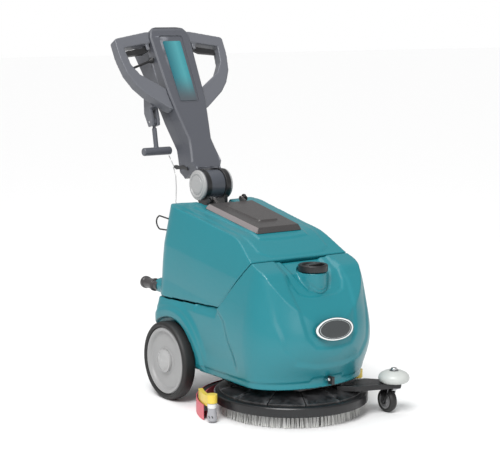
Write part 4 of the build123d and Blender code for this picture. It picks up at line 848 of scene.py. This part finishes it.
def inlay_material():
    """Glossy film: deep teal at the edge, paler towards the middle of its right side as a painted sheen, grey
    at its foot.
    """
    material = finish("teal_inlay_film", (0.02, 0.3, 0.34), (0.3, 0.6, 0.6), 0.2, 3000, 0.02, 0.1, 0.02,
                      coat=0.6)
    tree = material.node_tree
    make, link = tree.nodes.new, tree.links.new
    low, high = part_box("column_inlay")
    place, parts = make("ShaderNodeTexCoord"), make("ShaderNodeSeparateXYZ")
    link(place.outputs["Object"], parts.inputs["Vector"])
    across, up = make("ShaderNodeMapRange"), make("ShaderNodeMapRange")
    across.inputs["From Min"].default_value = low.x
    across.inputs["From Max"].default_value = high.x
    up.inputs["From Min"].default_value = low.z
    up.inputs["From Max"].default_value = low.z + 0.45 * (high.z - low.z)
    up.interpolation_type = "SMOOTHSTEP"
    link(parts.outputs["X"], across.inputs["Value"])
    link(parts.outputs["Z"], up.inputs["Value"])
    # the pale band across the film is a painted sheen
    sheen = make("ShaderNodeValToRGB")
    sheen.color_ramp.elements[0].color = (0.005, 0.105, 0.135, 1)
    sheen.color_ramp.elements[1].color = (0.022, 0.20, 0.235, 1)
    peak = sheen.color_ramp.elements.new(0.68)
    peak.color = (0.055, 0.27, 0.30, 1)
    link(across.outputs["Result"], sheen.inputs["Fac"])
    fade = make("ShaderNodeMix")
    fade.data_type = "RGBA"
    fade.inputs["A"].default_value = (0.065, 0.078, 0.090, 1)
    link(up.outputs["Result"], fade.inputs["Factor"])
    link(sheen.outputs["Color"], fade.inputs["B"])
    link(fade.outputs["Result"], tree.nodes["Principled BSDF"].inputs["Base Color"])
    return material


inlay_film = inlay_material()
edged_node("column_inlay", inlay_film, "teal_inlay", 0.0006)

# ------------------------------------------------------------------ levers, switches and small fittings
# Black triggers hang under the loops. The release rod and the squeegee lever work on the column's
# right side.
edged_node("trigger_left", black_plastic, "black_plastic", 0.0018, segments=3)
edged_node("trigger_right", black_plastic, "black_plastic", 0.0018, segments=3)
edged_node("release_lever", arm_black, "black_frame", 0.0005)
bracket = soften(bench_copy("lift_cheeks", "lift_bracket"), 0.0012, 5, None, 60000)
fit(bracket, loop_grey, "column", "grey_shell", "lift_bracket")
handle = soften(bench_copy("lift_handle", "lift_lever"), 0.0011, 4, None, 60000)
lever_grey = finish("lever_grey", (0.085, 0.090, 0.105), (0.3, 0.31, 0.35), 0.34, 1300, 0.12, 0.5, 0.08)
fit(handle, lever_grey, "lift", "grey_shell", "lift_lever")
edged_node("column_pins", bright_steel, "bright_steel", 0.0005)
edged_node("wire_guide", black_plastic, "black_plastic", 0.0012)
edged_node("cord_hook", arm_black, "black_frame", 0.0002, corner=50)
button_white = finish("button_white", (0.62, 0.63, 0.62), (0.8, 0.8, 0.8), 0.3, 1500, 0.05, 0.2, 0.05)
edged_node("brush_button", button_white, "badge_white", 0.0006)
edged_node("vacuum_button", button_white, "badge_white", 0.0006)
edged_node("key_switch", steel_dark, "bright_steel", 0.0006)
wire_steel = finish("wire_steel", (0.52, 0.52, 0.52), (0.8, 0.8, 0.8), 0.3, 5000, 0.3, 0.2, 0.1, metal=0.6)
for node, body in (("lift_wire_upper", "lift"), ("lift_wire_lower", "column")):
    strand = bench_copy(node + "_strand", node)
    strand.data.shade_smooth()
    strand.data.materials.append(wire_steel)
    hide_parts(node)
    low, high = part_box(node)
    if node == "lift_wire_upper":
        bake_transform(strand)
    else:
        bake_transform(strand)

# ------------------------------------------------------------------ frame, motors and what the covers hide
# Powder-coated steel carries the batteries and both motors. They keep their plain working shapes,
# with rounded edges.
battery_black = finish("battery_case", (0.020, 0.020, 0.022), (0.12, 0.12, 0.12), 0.5, 600, 0.4, 0.3, 0.15)
motor_grey = finish("motor_paint", (0.05, 0.052, 0.055), (0.2, 0.2, 0.2), 0.4, 900, 0.25, 0.4, 0.1)
seal_rubber = finish("seal_rubber", (0.016, 0.016, 0.016), (0.05, 0.05, 0.05), 0.6, 700, 0.2, 0.2, 0.2)
float_white = finish("float_white", (0.7, 0.7, 0.68), (0.8, 0.8, 0.8), 0.4, 900, 0.05, 0.1, 0.05)
for node, material, slot, radius in (
    ("chassis_frame", arm_black, "black_frame", 0.0010),
    ("column_pedestal", arm_black, "black_frame", 0.0015),
    ("wheel_axle", bright_steel, "bright_steel", 0.0006), ("pivot_pin", bright_steel, "bright_steel", 0.0005),
    ("batteries", battery_black, "battery_case", 0.0020),
    ("controller", black_plastic, "black_plastic", 0.0015),
    ("brush_motor", motor_grey, "motor_metal", 0.0012), ("vacuum_motor", motor_grey, "motor_metal", 0.0012),
    ("vacuum_fan", steel_dark, "bright_steel", 0.0003), ("drive_hub", steel_dark, "bright_steel", 0.0008),
    ("brush_plate", black_plastic, "black_plastic", 0.0010),
    ("lid_seal", seal_rubber, "rubber_black", 0.0004),
    ("lid_hinge_pins", black_plastic, "bright_steel", 0.0012),
    ("float_cage", float_white, "light_grey", 0.0004),
    ("suction_hose", seal_rubber, "rubber_black", 0.0004),
):
    edged_node(node, material, slot, radius)
float_low, float_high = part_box("float_ball")
float_work = bmesh.new()
bmesh.ops.create_icosphere(float_work, subdivisions=4, radius=(float_high.x - float_low.x) / 2,
                           matrix=Matrix.Translation((float_low + float_high) / 2))
float_piece = object_from(float_work, "float_ball_piece")
float_piece.data.shade_smooth()
fit(float_piece, float_white, "float", "badge_white", "float_ball")

bpy.context.view_layer.update()
